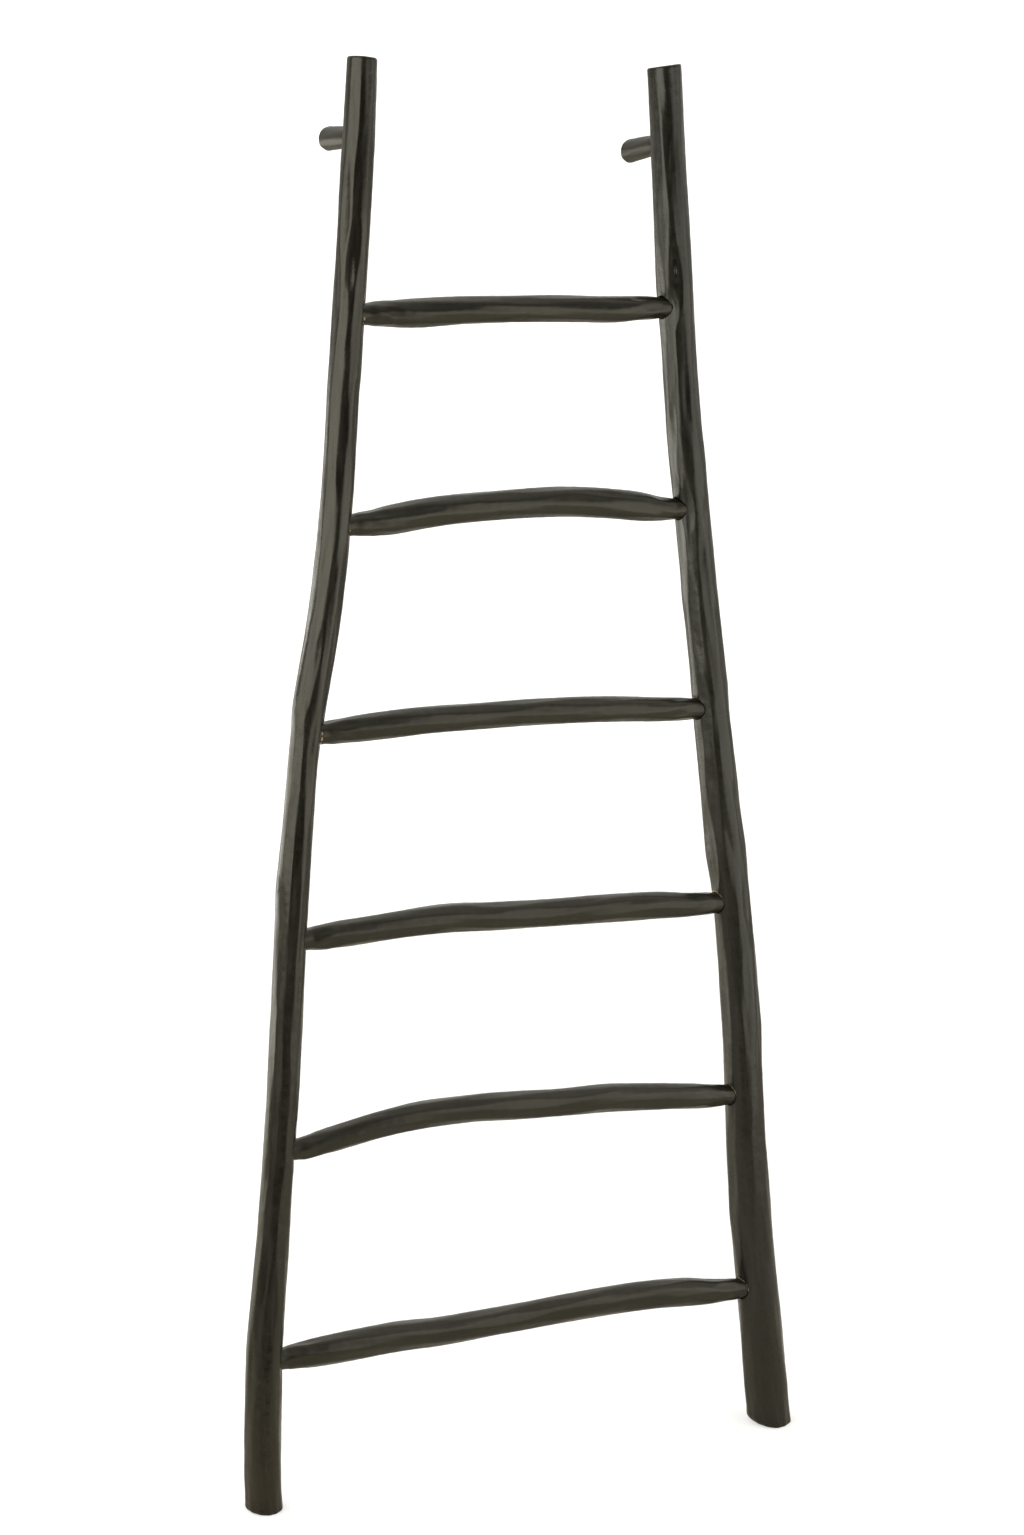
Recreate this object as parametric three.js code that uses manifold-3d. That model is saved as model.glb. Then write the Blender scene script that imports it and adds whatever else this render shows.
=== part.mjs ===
// Rustic wall ladder of hand-shaved branches: two crooked poles, six bowed rungs whittled at their ends and
// set in bored sockets, a nail through each of those joints from behind, and a peg behind each pole's tip
// that keeps the ladder off the wall it leans on.
//
// Millimetres. Every piece is laid out in the ladder's own plane, with x across it, y out of its back and z
// up along it. The whole is then leaned back, so that the feet stand on the floor and the pegs on the wall.

import * as THREE from "three";
import { mergeVertices } from "three/addons/utils/BufferGeometryUtils.js";
import Module from "manifold-3d";

const wasm = await Module();
wasm.setup();

// Stance: the lean from the upright, and the floor between the line of the feet and the wall
const LEAN = THREE.MathUtils.degToRad(9);
const WALL_DISTANCE = 379;

// Spread of the two pole axes at the floor and at the tips, and the tips' drift to the right of the feet
const FOOT_SPREAD = 782;
const TIP_SPREAD = 449;
const TIP_DRIFT = 37;

// Rung levels, up the ladder from the floor
const FIRST_RUNG = 200;
const RUNG_SPACING = 275;

// Rung joints: the whittled tenon, how far it passes the pole's axis, and the straight length outside
const TENON_RADIUS = 14.7;
const TENON_PAST_AXIS = 9;
const TENON_OUTSIDE = 3;

// Wall pegs: level below the tip, thickness, tenon, rim
const PEG_BELOW_TIP = 101;
const PEG_RADIUS = 16.3;
const PEG_TENON_RADIUS = 11;
const PEG_PAST_AXIS = 8;
const PEG_RIM = 2.5;

// Joint nails, driven from behind with the head let in level with the wood
const NAIL_LENGTH = 38;
const NAIL_RADIUS = 1.75;
const NAIL_POINT = 5;
const NAIL_HEAD_RADIUS = 4;
const NAIL_HEAD_THICKNESS = 1.5;
const NAIL_SUNK = 1.2;

// Gap between pieces that fit into each other
const GAP = 0.3;

// Sawn ends of the poles: the bevel round the foot and round the tip
const FOOT_BEVEL = 1.6;
const TIP_BEVEL = 1.2;
const SAW_REACH = 90; // length over which the skin's rings turn from the saw cut to the pole's own square

// Drawknife flats on poles and rungs: half length, pitch along the branch, and depth as a share of radius
const POLE_STROKES = { reach: 95, pitch: 17, depth: 0.045 };
const RUNG_STROKES = { reach: 70, pitch: 12, depth: 0.04 };
const GOLDEN_ANGLE = Math.PI * (3 - Math.sqrt(5));

const POLE_SIDES = 18;
const POLE_RINGS = 50;
const RUNG_SIDES = 14;
const RUNG_RINGS = 18;
const PEG_SIDES = 14;
const NAIL_SIDES = 8;

// Poles. A row of form is a share of the length, the bend there as a share of crook, positive to the right,
// the bow there as a share of bow, positive to the back, and the thickness as a share of radius. A knot is a
// share of the length, the way that it faces, in degrees from +x towards the back, and its swelling.
const LEFT_POLE = {
  name: "left_pole",
  colour: 0x332f28,
  length: 1905,
  radius: 21,
  crook: 18.5,
  bow: 5,
  footX: -FOOT_SPREAD / 2,
  tipX: TIP_DRIFT - TIP_SPREAD / 2,
  tipSlope: -0.1,
  heel: { faces: 200, wear: 1.6 },
  form: [
    [0, 0, 0, 1.26],
    [0.03, -0.31, 0, 1.18],
    [0.105, -0.74, 0.3, 1.15],
    [0.195, -0.64, 0.7, 1.02],
    [0.295, -0.64, 0.8, 1.01],
    [0.43, -0.96, 0.3, 1.0],
    [0.515, -0.91, -0.1, 0.93],
    [0.57, -0.62, -0.4, 1.06],
    [0.625, -0.04, -0.6, 1.04],
    [0.705, 0.25, -0.8, 1.0],
    [0.775, 0.21, -0.4, 0.99],
    [0.84, 0.27, 0.1, 1.01],
    [0.935, 0.24, 0.8, 1.0],
    [1, 0.11, 1.0, 0.92],
  ],
  knots: [
    { at: 0.437, faces: 180, swell: 1.8 },
    { at: 0.562, faces: 190, swell: 2.6 },
    { at: 0.2, faces: 60, swell: 1.5 },
    { at: 0.79, faces: 300, swell: 1.2 },
  ],
  pegTilt: THREE.MathUtils.degToRad(1),
};

const RIGHT_POLE = {
  name: "right_pole",
  colour: 0x302d27,
  length: 1897,
  radius: 25,
  crook: 12.3,
  bow: 5,
  footX: FOOT_SPREAD / 2,
  tipX: TIP_DRIFT + TIP_SPREAD / 2,
  tipSlope: 0.13,
  heel: { faces: 185, wear: 4.4 },
  form: [
    [0, 0, 0, 1.3],
    [0.053, -0.07, 0, 1.215],
    [0.12, -0.31, -0.3, 1.14],
    [0.2, -0.43, -0.8, 1.135],
    [0.265, -0.1, -1.0, 1.065],
    [0.34, 0.28, -0.7, 1.06],
    [0.4, 0.26, -0.3, 1.025],
    [0.46, -0.05, 0.1, 1.05],
    [0.52, -0.21, 0.4, 1.03],
    [0.61, -0.43, 0.7, 0.965],
    [0.665, -0.62, 0.8, 0.96],
    [0.735, -0.91, 0.6, 0.965],
    [0.8, -0.92, 0.2, 0.935],
    [0.855, -0.83, -0.2, 1.0],
    [0.93, -0.63, -0.9, 0.915],
    [1, -0.29, -1.1, 0.92],
  ],
  knots: [
    { at: 0.157, faces: 180, swell: 2.2 },
    { at: 0.304, faces: 0, swell: 2 },
    { at: 0.43, faces: 175, swell: 2.9 },
    { at: 0.436, faces: 5, swell: 3.1 },
    { at: 0.56, faces: 5, swell: 2.2 },
    { at: 0.62, faces: 120, swell: 1.6 },
    { at: 0.725, faces: 350, swell: 1.4 },
  ],
  pegTilt: THREE.MathUtils.degToRad(-4),
};

const KNOT_REACH = 32;

// Rungs, RUNG_1 the lowest. leftUp and rightUp are how far its sockets were bored above their level. A row of
// form is a share of the length between the pole axes, the rise there over the straight line between the
// sockets as a share of arch, and the thickness as a share of radius. belly is how far it bows to the back.
const RUNG_1 = {
  leftUp: -2,
  rightUp: -4,
  radius: 19.7,
  arch: 11.5,
  belly: 5,
  form: [
    [0.08, 0.11, 0.92],
    [0.15, 0.3, 1.03],
    [0.25, 0.5, 1.03],
    [0.35, 0.37, 0.985],
    [0.45, 0.5, 0.955],
    [0.6, 0.83, 0.965],
    [0.73, 1.0, 1.02],
    [0.85, 0.64, 1.01],
    [0.9, 0.29, 0.87],
  ],
};

const RUNG_2 = {
  leftUp: 3.5,
  rightUp: 0.5,
  radius: 18.7,
  arch: 26.5,
  belly: -4,
  form: [
    [0.05, 0.03, 0.83],
    [0.1, 0.25, 0.9],
    [0.2, 0.73, 0.95],
    [0.3, 1.0, 0.99],
    [0.4, 1.03, 0.98],
    [0.5, 0.9, 1.04],
    [0.6, 0.78, 1.0],
    [0.7, 0.71, 1.03],
    [0.8, 0.47, 1.0],
    [0.9, 0.22, 0.93],
  ],
};

const RUNG_3 = {
  leftUp: 7,
  rightUp: 0,
  radius: 18.7,
  arch: 11.6,
  belly: 4,
  form: [
    [0.08, 0.19, 0.925],
    [0.2, 0.63, 0.955],
    [0.35, 1.0, 1.05],
    [0.45, 0.73, 1.015],
    [0.6, 0.54, 1.01],
    [0.8, 0.36, 1.02],
    [0.9, 0.04, 0.91],
  ],
};

const RUNG_4 = {
  leftUp: 3,
  rightUp: -3,
  radius: 17.9,
  arch: 11.2,
  belly: -3,
  form: [
    [0.08, 0.25, 0.925],
    [0.2, 0.65, 1.03],
    [0.3, 0.87, 1.02],
    [0.5, 0.99, 0.98],
    [0.6, 0.98, 1.005],
    [0.75, 0.71, 0.965],
    [0.9, 0.19, 0.9],
  ],
};

const RUNG_5 = {
  leftUp: -1,
  rightUp: -1,
  radius: 19.9,
  arch: 18.3,
  belly: 5,
  form: [
    [0.08, 0.09, 0.83],
    [0.15, 0.28, 0.975],
    [0.25, 0.63, 1.01],
    [0.4, 0.9, 0.995],
    [0.55, 1.0, 0.995],
    [0.65, 0.96, 1.025],
    [0.75, 0.71, 1.02],
    [0.85, 0.35, 0.99],
    [0.92, 0.08, 0.79],
  ],
};

const RUNG_6 = {
  leftUp: -1,
  rightUp: -1,
  radius: 18,
  arch: 2.5,
  belly: -4,
  form: [
    [0.08, 0, 0.91],
    [0.2, 0, 1.055],
    [0.35, 0.88, 1.02],
    [0.5, 1.0, 0.995],
    [0.65, 0.48, 0.985],
    [0.8, -0.48, 0.97],
    [0.9, -0.16, 0.88],
  ],
};

const RUNGS = [RUNG_1, RUNG_2, RUNG_3, RUNG_4, RUNG_5, RUNG_6];

/** Value in a column of rows at a place, on the smooth curve through the rows, and straight past its ends. */
function along(rows, place, column) {
  const slopeAt = (i) => {
    const before = rows[Math.max(i - 1, 0)];
    const after = rows[Math.min(i + 1, rows.length - 1)];
    return (after[column] - before[column]) / (after[0] - before[0]);
  };
  const last = rows.length - 1;
  if (place <= rows[0][0]) return rows[0][column] + slopeAt(0) * (place - rows[0][0]);
  if (place >= rows[last][0]) return rows[last][column] + slopeAt(last) * (place - rows[last][0]);
  const next = rows.findIndex((row) => row[0] > place);
  const [from, to] = [rows[next - 1], rows[next]];
  const span = to[0] - from[0];
  const t = (place - from[0]) / span;
  const turn = t * t * (3 - 2 * t);
  const leave = t * (1 - t) * (1 - t) * span * slopeAt(next - 1);
  const arrive = t * t * (t - 1) * span * slopeAt(next);
  return from[column] + (to[column] - from[column]) * turn + leave + arrive;
}

/** Radius of a branch after the drawknife. Each stroke leaves a long flat, a golden angle round from the last. */
function shaved(radius, angle, distance, { reach, pitch, depth }) {
  let least = radius;
  const lastStroke = Math.floor((distance + reach) / pitch);
  for (let stroke = Math.ceil((distance - reach) / pitch); stroke <= lastStroke; stroke++) {
    const off = (distance - stroke * pitch) / reach;
    const facing = Math.cos(angle - stroke * GOLDEN_ANGLE);
    const flat = radius * (1 - depth * (1 - off * off));
    if (facing > 0.5) least = Math.min(least, flat / facing);
  }
  return least;
}

/** Closed skin through rings of points. pointAt(ring, angle) gives a point, and each end has a flat cap. */
function skin(rings, sides, pointAt) {
  const positions = [];
  const faces = [];
  for (const ring of rings) {
    for (let k = 0; k < sides; k++) positions.push(...pointAt(ring, ((k + 0.5) / sides) * 2 * Math.PI));
  }
  for (let r = 0; r + 1 < rings.length; r++) {
    for (let k = 0; k < sides; k++) {
      const [a, b] = [r * sides + k, r * sides + ((k + 1) % sides)];
      faces.push(a, b, b + sides, a, b + sides, a + sides);
    }
  }
  for (const [ring, inward] of [[0, true], [rings.length - 1, false]]) {
    const rim = positions.slice(ring * sides * 3, (ring + 1) * sides * 3);
    const middle = positions.length / 3;
    for (let axis = 0; axis < 3; axis++) {
      positions.push(rim.reduce((sum, value, i) => (i % 3 === axis ? sum + value : sum), 0) / sides);
    }
    for (let k = 0; k < sides; k++) {
      const [a, b] = [ring * sides + k, ring * sides + ((k + 1) % sides)];
      faces.push(...(inward ? [middle, b, a] : [middle, a, b]));
    }
  }
  const geometry = new THREE.BufferGeometry();
  geometry.setAttribute("position", new THREE.Float32BufferAttribute(positions, 3));
  geometry.setIndex(faces);
  return geometry;
}

/** Solid of a closed geometry. */
function solidOf(geometry) {
  const bare = geometry.clone();
  bare.deleteAttribute("normal");
  bare.deleteAttribute("uv");
  const merged = mergeVertices(bare);
  return new wasm.Manifold(
    new wasm.Mesh({
      numProp: 3,
      vertProperties: new Float32Array(merged.attributes.position.array),
      triVerts: new Uint32Array(merged.index.array),
    }),
  );
}

/** Geometry of a solid. */
function geometryOf(solid) {
  const { vertProperties, triVerts } = solid.getMesh();
  const geometry = new THREE.BufferGeometry();
  geometry.setAttribute("position", new THREE.BufferAttribute(vertProperties, 3));
  geometry.setIndex(new THREE.BufferAttribute(triVerts, 1));
  geometry.computeVertexNormals();
  return geometry;
}

/** Axis and radius of a pole at a height up the ladder. */
function poleAt(pole, z) {
  const share = z / pole.length;
  return {
    x: THREE.MathUtils.lerp(pole.footX, pole.tipX, share) + pole.crook * along(pole.form, share, 1),
    y: pole.bow * along(pole.form, share, 2),
    z,
    radius: pole.radius * along(pole.form, share, 3),
  };
}

/** How far the pole's knots swell it at a height and an angle. */
function knotSwell(pole, z, angle) {
  let swell = 0;
  for (const knot of pole.knots) {
    const off = (z - knot.at * pole.length) / KNOT_REACH;
    const facing = Math.max(0, Math.cos(angle - THREE.MathUtils.degToRad(knot.faces)));
    swell += knot.swell * Math.exp(-off * off) * facing ** 3;
  }
  return swell;
}

/** A pole's skin: the foot is sawn level with the floor, the tip across the pole, and both are bevelled. */
function poleSkin(pole) {
  const rings = [{ z: 0, foot: true }, { z: FOOT_BEVEL, foot: true }];
  const [lowest, highest] = [FOOT_BEVEL, pole.length - TIP_BEVEL];
  for (let r = 1; r <= POLE_RINGS; r++) {
    rings.push({ z: THREE.MathUtils.lerp(lowest, highest, r / POLE_RINGS) });
  }
  rings.push({ z: pole.length, inset: TIP_BEVEL });
  return skin(rings, POLE_SIDES, (ring, angle) => {
    const axis = poleAt(pole, ring.z);
    const facesHeel = Math.max(0, Math.cos(angle - THREE.MathUtils.degToRad(pole.heel.faces)));
    const bevel = FOOT_BEVEL * (1 + pole.heel.wear * facesHeel ** 2);
    const rise = ring.foot && ring.z > 0 ? bevel : ring.z;
    const inset = ring.foot && ring.z === 0 ? bevel : (ring.inset ?? 0);
    const swollen = axis.radius + knotSwell(pole, ring.z, angle);
    const radius = shaved(swollen, angle, ring.z, POLE_STROKES) - inset;
    const [dx, dy] = [radius * Math.cos(angle), radius * Math.sin(angle)];
    const footCut = Math.tan(LEAN) * (axis.y + dy) * Math.max(0, 1 - ring.z / SAW_REACH);
    const tipCut = pole.tipSlope * dx * Math.max(0, 1 - (pole.length - ring.z) / SAW_REACH);
    return [axis.x + dx, axis.y + dy, rise + footCut + tipCut];
  });
}

/** A rung laid between the poles: where its axis is, and how thick it is, at a share of its length. */
function layRung(rung, level) {
  const height = FIRST_RUNG + level * RUNG_SPACING;
  const [left, right] = [poleAt(LEFT_POLE, height + rung.leftUp), poleAt(RIGHT_POLE, height + rung.rightUp)];
  const length = right.x - left.x;
  const leftShoulder = (left.radius + TENON_OUTSIDE) / length;
  const rightShoulder = 1 - (right.radius + TENON_OUTSIDE) / length;
  const path = [[0, 0], ...rung.form, [1, 0]];
  const tenon = TENON_RADIUS / rung.radius;
  const body = [[leftShoulder, 0, tenon], ...rung.form, [rightShoulder, 0, tenon]];
  const axisAt = (share) => ({
    x: THREE.MathUtils.lerp(left.x, right.x, share),
    y: THREE.MathUtils.lerp(left.y, right.y, share) + rung.belly * Math.sin(Math.PI * share),
    z: THREE.MathUtils.lerp(left.z, right.z, share) + rung.arch * along(path, share, 1),
  });
  const radiusAt = (share) => {
    if (share <= leftShoulder || share >= rightShoulder) return TENON_RADIUS;
    return rung.radius * along(body, share, 2);
  };
  return { left, right, length, leftShoulder, rightShoulder, axisAt, radiusAt };
}

/** A point on a ring round a laid rung's axis. */
function rungPoint(laid, share, angle, radius) {
  const axis = laid.axisAt(share);
  return [axis.x, axis.y + radius * Math.cos(angle), axis.z + radius * Math.sin(angle)];
}

/** A rung's skin: round tenons, and a shaved body whose flats run out towards the shoulders. */
function rungSkin(laid) {
  const pastAxis = TENON_PAST_AXIS / laid.length;
  const shares = [-pastAxis];
  for (let r = 0; r <= RUNG_RINGS; r++) {
    const t = r / RUNG_RINGS;
    shares.push(THREE.MathUtils.lerp(laid.leftShoulder, laid.rightShoulder, t - 0.05 * Math.sin(4 * Math.PI * t)));
  }
  shares.push(1 + pastAxis);
  return skin(shares, RUNG_SIDES, (share, angle) => {
    const toShoulder = Math.min(share - laid.leftShoulder, laid.rightShoulder - share) * laid.length;
    const fade = THREE.MathUtils.smoothstep(toShoulder, 0, RUNG_STROKES.reach / 2);
    const strokes = { ...RUNG_STROKES, depth: RUNG_STROKES.depth * fade };
    const radius = shaved(laid.radiusAt(share), angle, share * laid.length, strokes);
    return rungPoint(laid, share, angle, radius);
  });
}

/** The hole that a rung's tenon needs in a pole, open towards the rung. */
function rungSocket(laid, onLeft) {
  const end = onLeft ? -TENON_PAST_AXIS - GAP : laid.length - 2 * laid.right.radius;
  const start = onLeft ? 2 * laid.left.radius : laid.length + TENON_PAST_AXIS + GAP;
  const steps = [0, 0.25, 0.5, 0.75, 1];
  const shares = steps.map((t) => THREE.MathUtils.lerp(end, start, t) / laid.length);
  return skin(shares, RUNG_SIDES, (share, angle) => rungPoint(laid, share, angle, TENON_RADIUS + GAP));
}

/** A peg's place: where its axis crosses the pole's, its direction, and its distance to the wall. */
function layPeg(pole) {
  const pole0 = poleAt(pole, pole.length - PEG_BELOW_TIP);
  const out = new THREE.Vector3(0, Math.cos(pole.pegTilt), Math.sin(pole.pegTilt));
  const up = new THREE.Vector3(0, -out.z, out.y);
  const wall = new THREE.Vector3(0, Math.cos(LEAN), Math.sin(LEAN));
  const pointAt = (distance, angle, radius) => {
    const point = new THREE.Vector3(pole0.x + radius * Math.sin(angle), pole0.y, pole0.z);
    return point.addScaledVector(out, distance).addScaledVector(up, radius * Math.cos(angle));
  };
  const toWall = (angle, radius) => (WALL_DISTANCE - pointAt(0, angle, radius).dot(wall)) / out.dot(wall);
  return { shoulder: pole0.radius + GAP, pointAt, toWall };
}

/** A wall peg's skin: whittled to its tenon at the pole, sawn to lie flat on the wall, with a rounded rim. */
function pegSkin(laid) {
  const free = laid.toWall(0, 0) - laid.shoulder;
  const rings = [
    { distance: -PEG_PAST_AXIS, radius: PEG_TENON_RADIUS },
    { distance: laid.shoulder, radius: PEG_TENON_RADIUS },
    { distance: laid.shoulder + 0.2 * free, radius: 0.83 * PEG_RADIUS },
    { distance: laid.shoulder + 0.5 * free, radius: 0.93 * PEG_RADIUS },
    { fromWall: PEG_RIM, radius: PEG_RADIUS },
    { fromWall: PEG_RIM * 0.3, radius: PEG_RADIUS - PEG_RIM * 0.3 },
    { fromWall: 0, radius: PEG_RADIUS - PEG_RIM },
  ];
  return skin(rings, PEG_SIDES, (ring, angle) => {
    const distance = ring.distance ?? laid.toWall(angle, ring.radius) - ring.fromWall;
    return laid.pointAt(distance, angle, ring.radius);
  });
}

/** The hole that a peg's tenon needs in a pole, open to the back. */
function pegSocket(laid) {
  const distances = [-PEG_PAST_AXIS - GAP, 2 * laid.shoulder];
  return skin(distances, PEG_SIDES, (distance, angle) => laid.pointAt(distance, angle, PEG_TENON_RADIUS + GAP));
}

/** A nail along y with its head's face at 0, grown by a gap all round, its head drawn out by open. */
function nailShape(gap, open) {
  const shank = NAIL_RADIUS + gap;
  const head = NAIL_HEAD_RADIUS + gap;
  const outline = [
    [0, -NAIL_LENGTH - gap],
    [shank, NAIL_POINT - NAIL_LENGTH - gap],
    [shank, -NAIL_HEAD_THICKNESS - gap],
    [head, -NAIL_HEAD_THICKNESS - gap],
    [head, open],
    [0, open],
  ];
  return new THREE.LatheGeometry(outline.map(([x, y]) => new THREE.Vector2(x, y)), NAIL_SIDES);
}

/** Where a joint's nail goes: on the pole's axis line, its head let into the pole's back. */
function nailPlace(pole, z) {
  const axis = poleAt(pole, z);
  const back = axis.radius + knotSwell(pole, z, Math.PI / 2);
  return new THREE.Vector3(axis.x, axis.y + shaved(back, Math.PI / 2, z, POLE_STROKES) - NAIL_SUNK, z);
}

/** The hole that a nail needs, open to the back. */
function nailHole(place) {
  return nailShape(GAP, NAIL_SUNK + NAIL_HEAD_RADIUS).translate(place.x, place.y, place.z);
}

/** A named piece with a material of its own. */
function piece(name, geometry, colour, roughness, metalness) {
  const mesh = new THREE.Mesh(geometry, new THREE.MeshStandardMaterial({ color: colour, roughness, metalness }));
  mesh.name = name;
  return mesh;
}

const ladder = new THREE.Group();
const rungs = RUNGS.map(layRung);

for (const [side, pole] of [["left", LEFT_POLE], ["right", RIGHT_POLE]]) {
  const peg = layPeg(pole);
  let body = solidOf(poleSkin(pole)).subtract(solidOf(pegSocket(peg)));
  rungs.forEach((laid, level) => {
    const nail = piece(`${side}_nail_${level + 1}`, nailShape(0, 0), 0x1d1b18, 0.5, 0.6);
    nail.position.copy(nailPlace(pole, laid[side].z));
    ladder.add(nail);
    body = body.subtract(solidOf(rungSocket(laid, side === "left")));
    body = body.subtract(solidOf(nailHole(nail.position)));
  });
  ladder.add(piece(pole.name, geometryOf(body), pole.colour, 0.4, 0));
  ladder.add(piece(`${side}_wall_peg`, pegSkin(peg), 0x37332b, 0.42, 0));
}

rungs.forEach((laid, level) => {
  let body = solidOf(rungSkin(laid));
  for (const [side, pole] of [["left", LEFT_POLE], ["right", RIGHT_POLE]]) {
    body = body.subtract(solidOf(nailHole(nailPlace(pole, laid[side].z))));
  }
  ladder.add(piece(`rung_${level + 1}`, geometryOf(body), 0x35322b, 0.42, 0));
});

// Leaned back about the line of the feet, with the origin on the floor in the middle of the ladder's reach
const [leftToe, rightToe] = [LEFT_POLE, RIGHT_POLE].map((pole) => poleAt(pole, 0).radius);
ladder.rotation.x = -LEAN;
ladder.position.set((leftToe - rightToe) / 2, (rightToe - WALL_DISTANCE) / 2, 0);

const part = new THREE.Group();
part.add(ladder);

export default part;
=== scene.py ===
"""Looks of a rustic wall ladder made of hand-shaved branches.

Two crooked poles carry six bowed rungs, whittled at their ends and set in bored sockets. A nail goes through
each joint from behind, and a peg behind each tip keeps the ladder off the wall. The wood is stained nearly
black under a satin lacquer.

Every piece is a surface worked out in the ladder's own plane, in millimetres: x across it, y out of its back
and z up along it. Ladder.stand leans the points back and gives them in metres, as they stand on the floor.
"""

import logging
import math
from dataclasses import dataclass, field
from enum import Enum

import bpy
import numpy as np
from mathutils import Matrix, Vector


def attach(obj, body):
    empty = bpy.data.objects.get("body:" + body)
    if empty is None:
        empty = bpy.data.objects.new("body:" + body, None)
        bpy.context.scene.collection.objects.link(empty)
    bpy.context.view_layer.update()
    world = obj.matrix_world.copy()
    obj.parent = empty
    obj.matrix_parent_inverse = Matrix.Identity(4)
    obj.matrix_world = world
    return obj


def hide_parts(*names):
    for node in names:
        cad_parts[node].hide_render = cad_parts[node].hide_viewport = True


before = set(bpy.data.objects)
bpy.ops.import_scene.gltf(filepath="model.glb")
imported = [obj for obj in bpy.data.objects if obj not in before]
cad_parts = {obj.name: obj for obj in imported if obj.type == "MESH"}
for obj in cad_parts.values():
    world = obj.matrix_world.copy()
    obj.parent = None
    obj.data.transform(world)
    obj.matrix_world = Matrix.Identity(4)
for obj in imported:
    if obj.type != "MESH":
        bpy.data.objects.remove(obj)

log = logging.getLogger("ladder")

Array = np.ndarray
Socket = bpy.types.NodeSocket
Rows = tuple[tuple[float, ...], ...]
Colour = tuple[float, float, float, float]
Inputs = dict[int | str, object]

GOLDEN_ANGLE = math.pi * (3 - math.sqrt(5))
MM_PER_M = 1000
UP = (0, 0, 1)
WHITE: Colour = (1, 1, 1, 1)

# Millimetres, past every surface.
FAR = 9e3

# Rings of a sawn face, as shares of its radius.
FACE_SHARES = (0.12, 0.35, 0.6, 0.8, 0.93)

# Rings of the patch round a bore, from its window to the lip, of the bore's wall, from its mouth to its
# floor, and of its worn lip: how far out of the bore and how deep, as shares of the lip's size.
PATCH_SHARES = (0.25, 0.48, 0.67, 0.81, 0.91, 0.97, 1.0)
BORE_SHARES = (0.12, 0.4, 0.7, 1.0)
LIP_ROWS = ((0.62, 0.1), (0.3, 0.34), (0.08, 0.8))

# Wear of a bore's lip: depth of its chips as a share of the radius, and bare wood as a Bore takes it.
MOST_CHIPS, LEAST_CHIPS = 0.07, 0.02
NOT_BARE = (0.0, 0.5, 0.0)


class Side(Enum):
    """Which pole a piece belongs to."""

    LEFT = "left"
    RIGHT = "right"


class Slot(Enum):
    """Material slots of the record."""

    POLE = "pole_wood"
    RUNG = "rung_wood"
    PEG = "peg_wood"
    NAIL = "nail_steel"


# ---- numbers and curves


def along(rows: Rows, place: Array, column: int) -> Array:
    """Values on the smooth curve through a column of rows, straight past the first and the last row.

    Between two rows the curve is the cubic whose slope at each row is the rise between its neighbours over
    the distance between them.

    Args:
        rows: places in the first column, rising, and values in the others.
        place: where the values are wanted.
        column: the column of the values.

    Returns:
        One value for each place.
    """
    table = np.array(rows, dtype=float)
    at, value = table[:, 0], table[:, column]
    before = np.maximum(np.arange(len(at)) - 1, 0)
    after = np.minimum(np.arange(len(at)) + 1, len(at) - 1)
    slope = (value[after] - value[before]) / (at[after] - at[before])
    where = np.asarray(place, dtype=float)
    inside = np.clip(where, at[0], at[-1])
    first = np.clip(np.searchsorted(at, inside, side="right") - 1, 0, len(at) - 2)
    span = at[first + 1] - at[first]
    t = (inside - at[first]) / span
    turn = t * t * (3 - 2 * t)
    curve = (
        value[first]
        + (value[first + 1] - value[first]) * turn
        + t * (1 - t) ** 2 * span * slope[first]
        + t * t * (t - 1) * span * slope[first + 1]
    )
    past = np.where(where < at[0], slope[0], slope[-1])
    return curve + past * (where - inside)


def smoothstep(value: Array, low: float, high: float) -> Array:
    """Smooth rise from 0 at low to 1 at high."""
    t = np.clip((value - low) / (high - low), 0, 1)
    return t * t * (3 - 2 * t)


def bell(value: Array) -> Array:
    """Bell curve exp(-value^2)."""
    return np.exp(-(value**2))


def turn_from(facing: float, angle: Array) -> Array:
    """Turn from a facing to an angle, between minus and plus half a turn."""
    return np.mod(angle - facing + np.pi, 2 * np.pi) - np.pi


def scatter(number: Array | float, step: float) -> Array | float:
    """Value from -1 to 1 that is unlike from one whole number to the next."""
    return np.sin(number * step)


def ripple(angle: Array, distance: Array, seed: float) -> Array:
    """Irregular swell between -1 and 1 round and along a branch, as a sum of waves of unlike lengths.

    Each wave has a weaker and shorter partner that winds the other way.

    Args:
        angle: angle round the branch.
        distance: distance along it.
        seed: moves the waves, so that no two pieces are alike.

    Returns:
        The swell at each point.
    """
    waves = ((2, 61, 1.0), (3, 37, 0.8), (5, 23, 0.6), (7, 14, 0.45), (1, 97, 0.9))
    partner_length, partner_share, tallest = 0.61, 0.5, 3.2
    total = np.zeros(np.broadcast(angle, distance).shape)
    for turns, length, share in waves:
        phase = seed * (turns + 1.3) + length
        winding = distance / length * 2 * np.pi
        unwinding = distance / (partner_length * length) * 2 * np.pi
        total = total + share * np.sin(turns * angle + winding + phase)
        total = total + partner_share * share * np.sin(-turns * angle + unwinding + 2.1 * phase)
    return total / tallest


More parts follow.
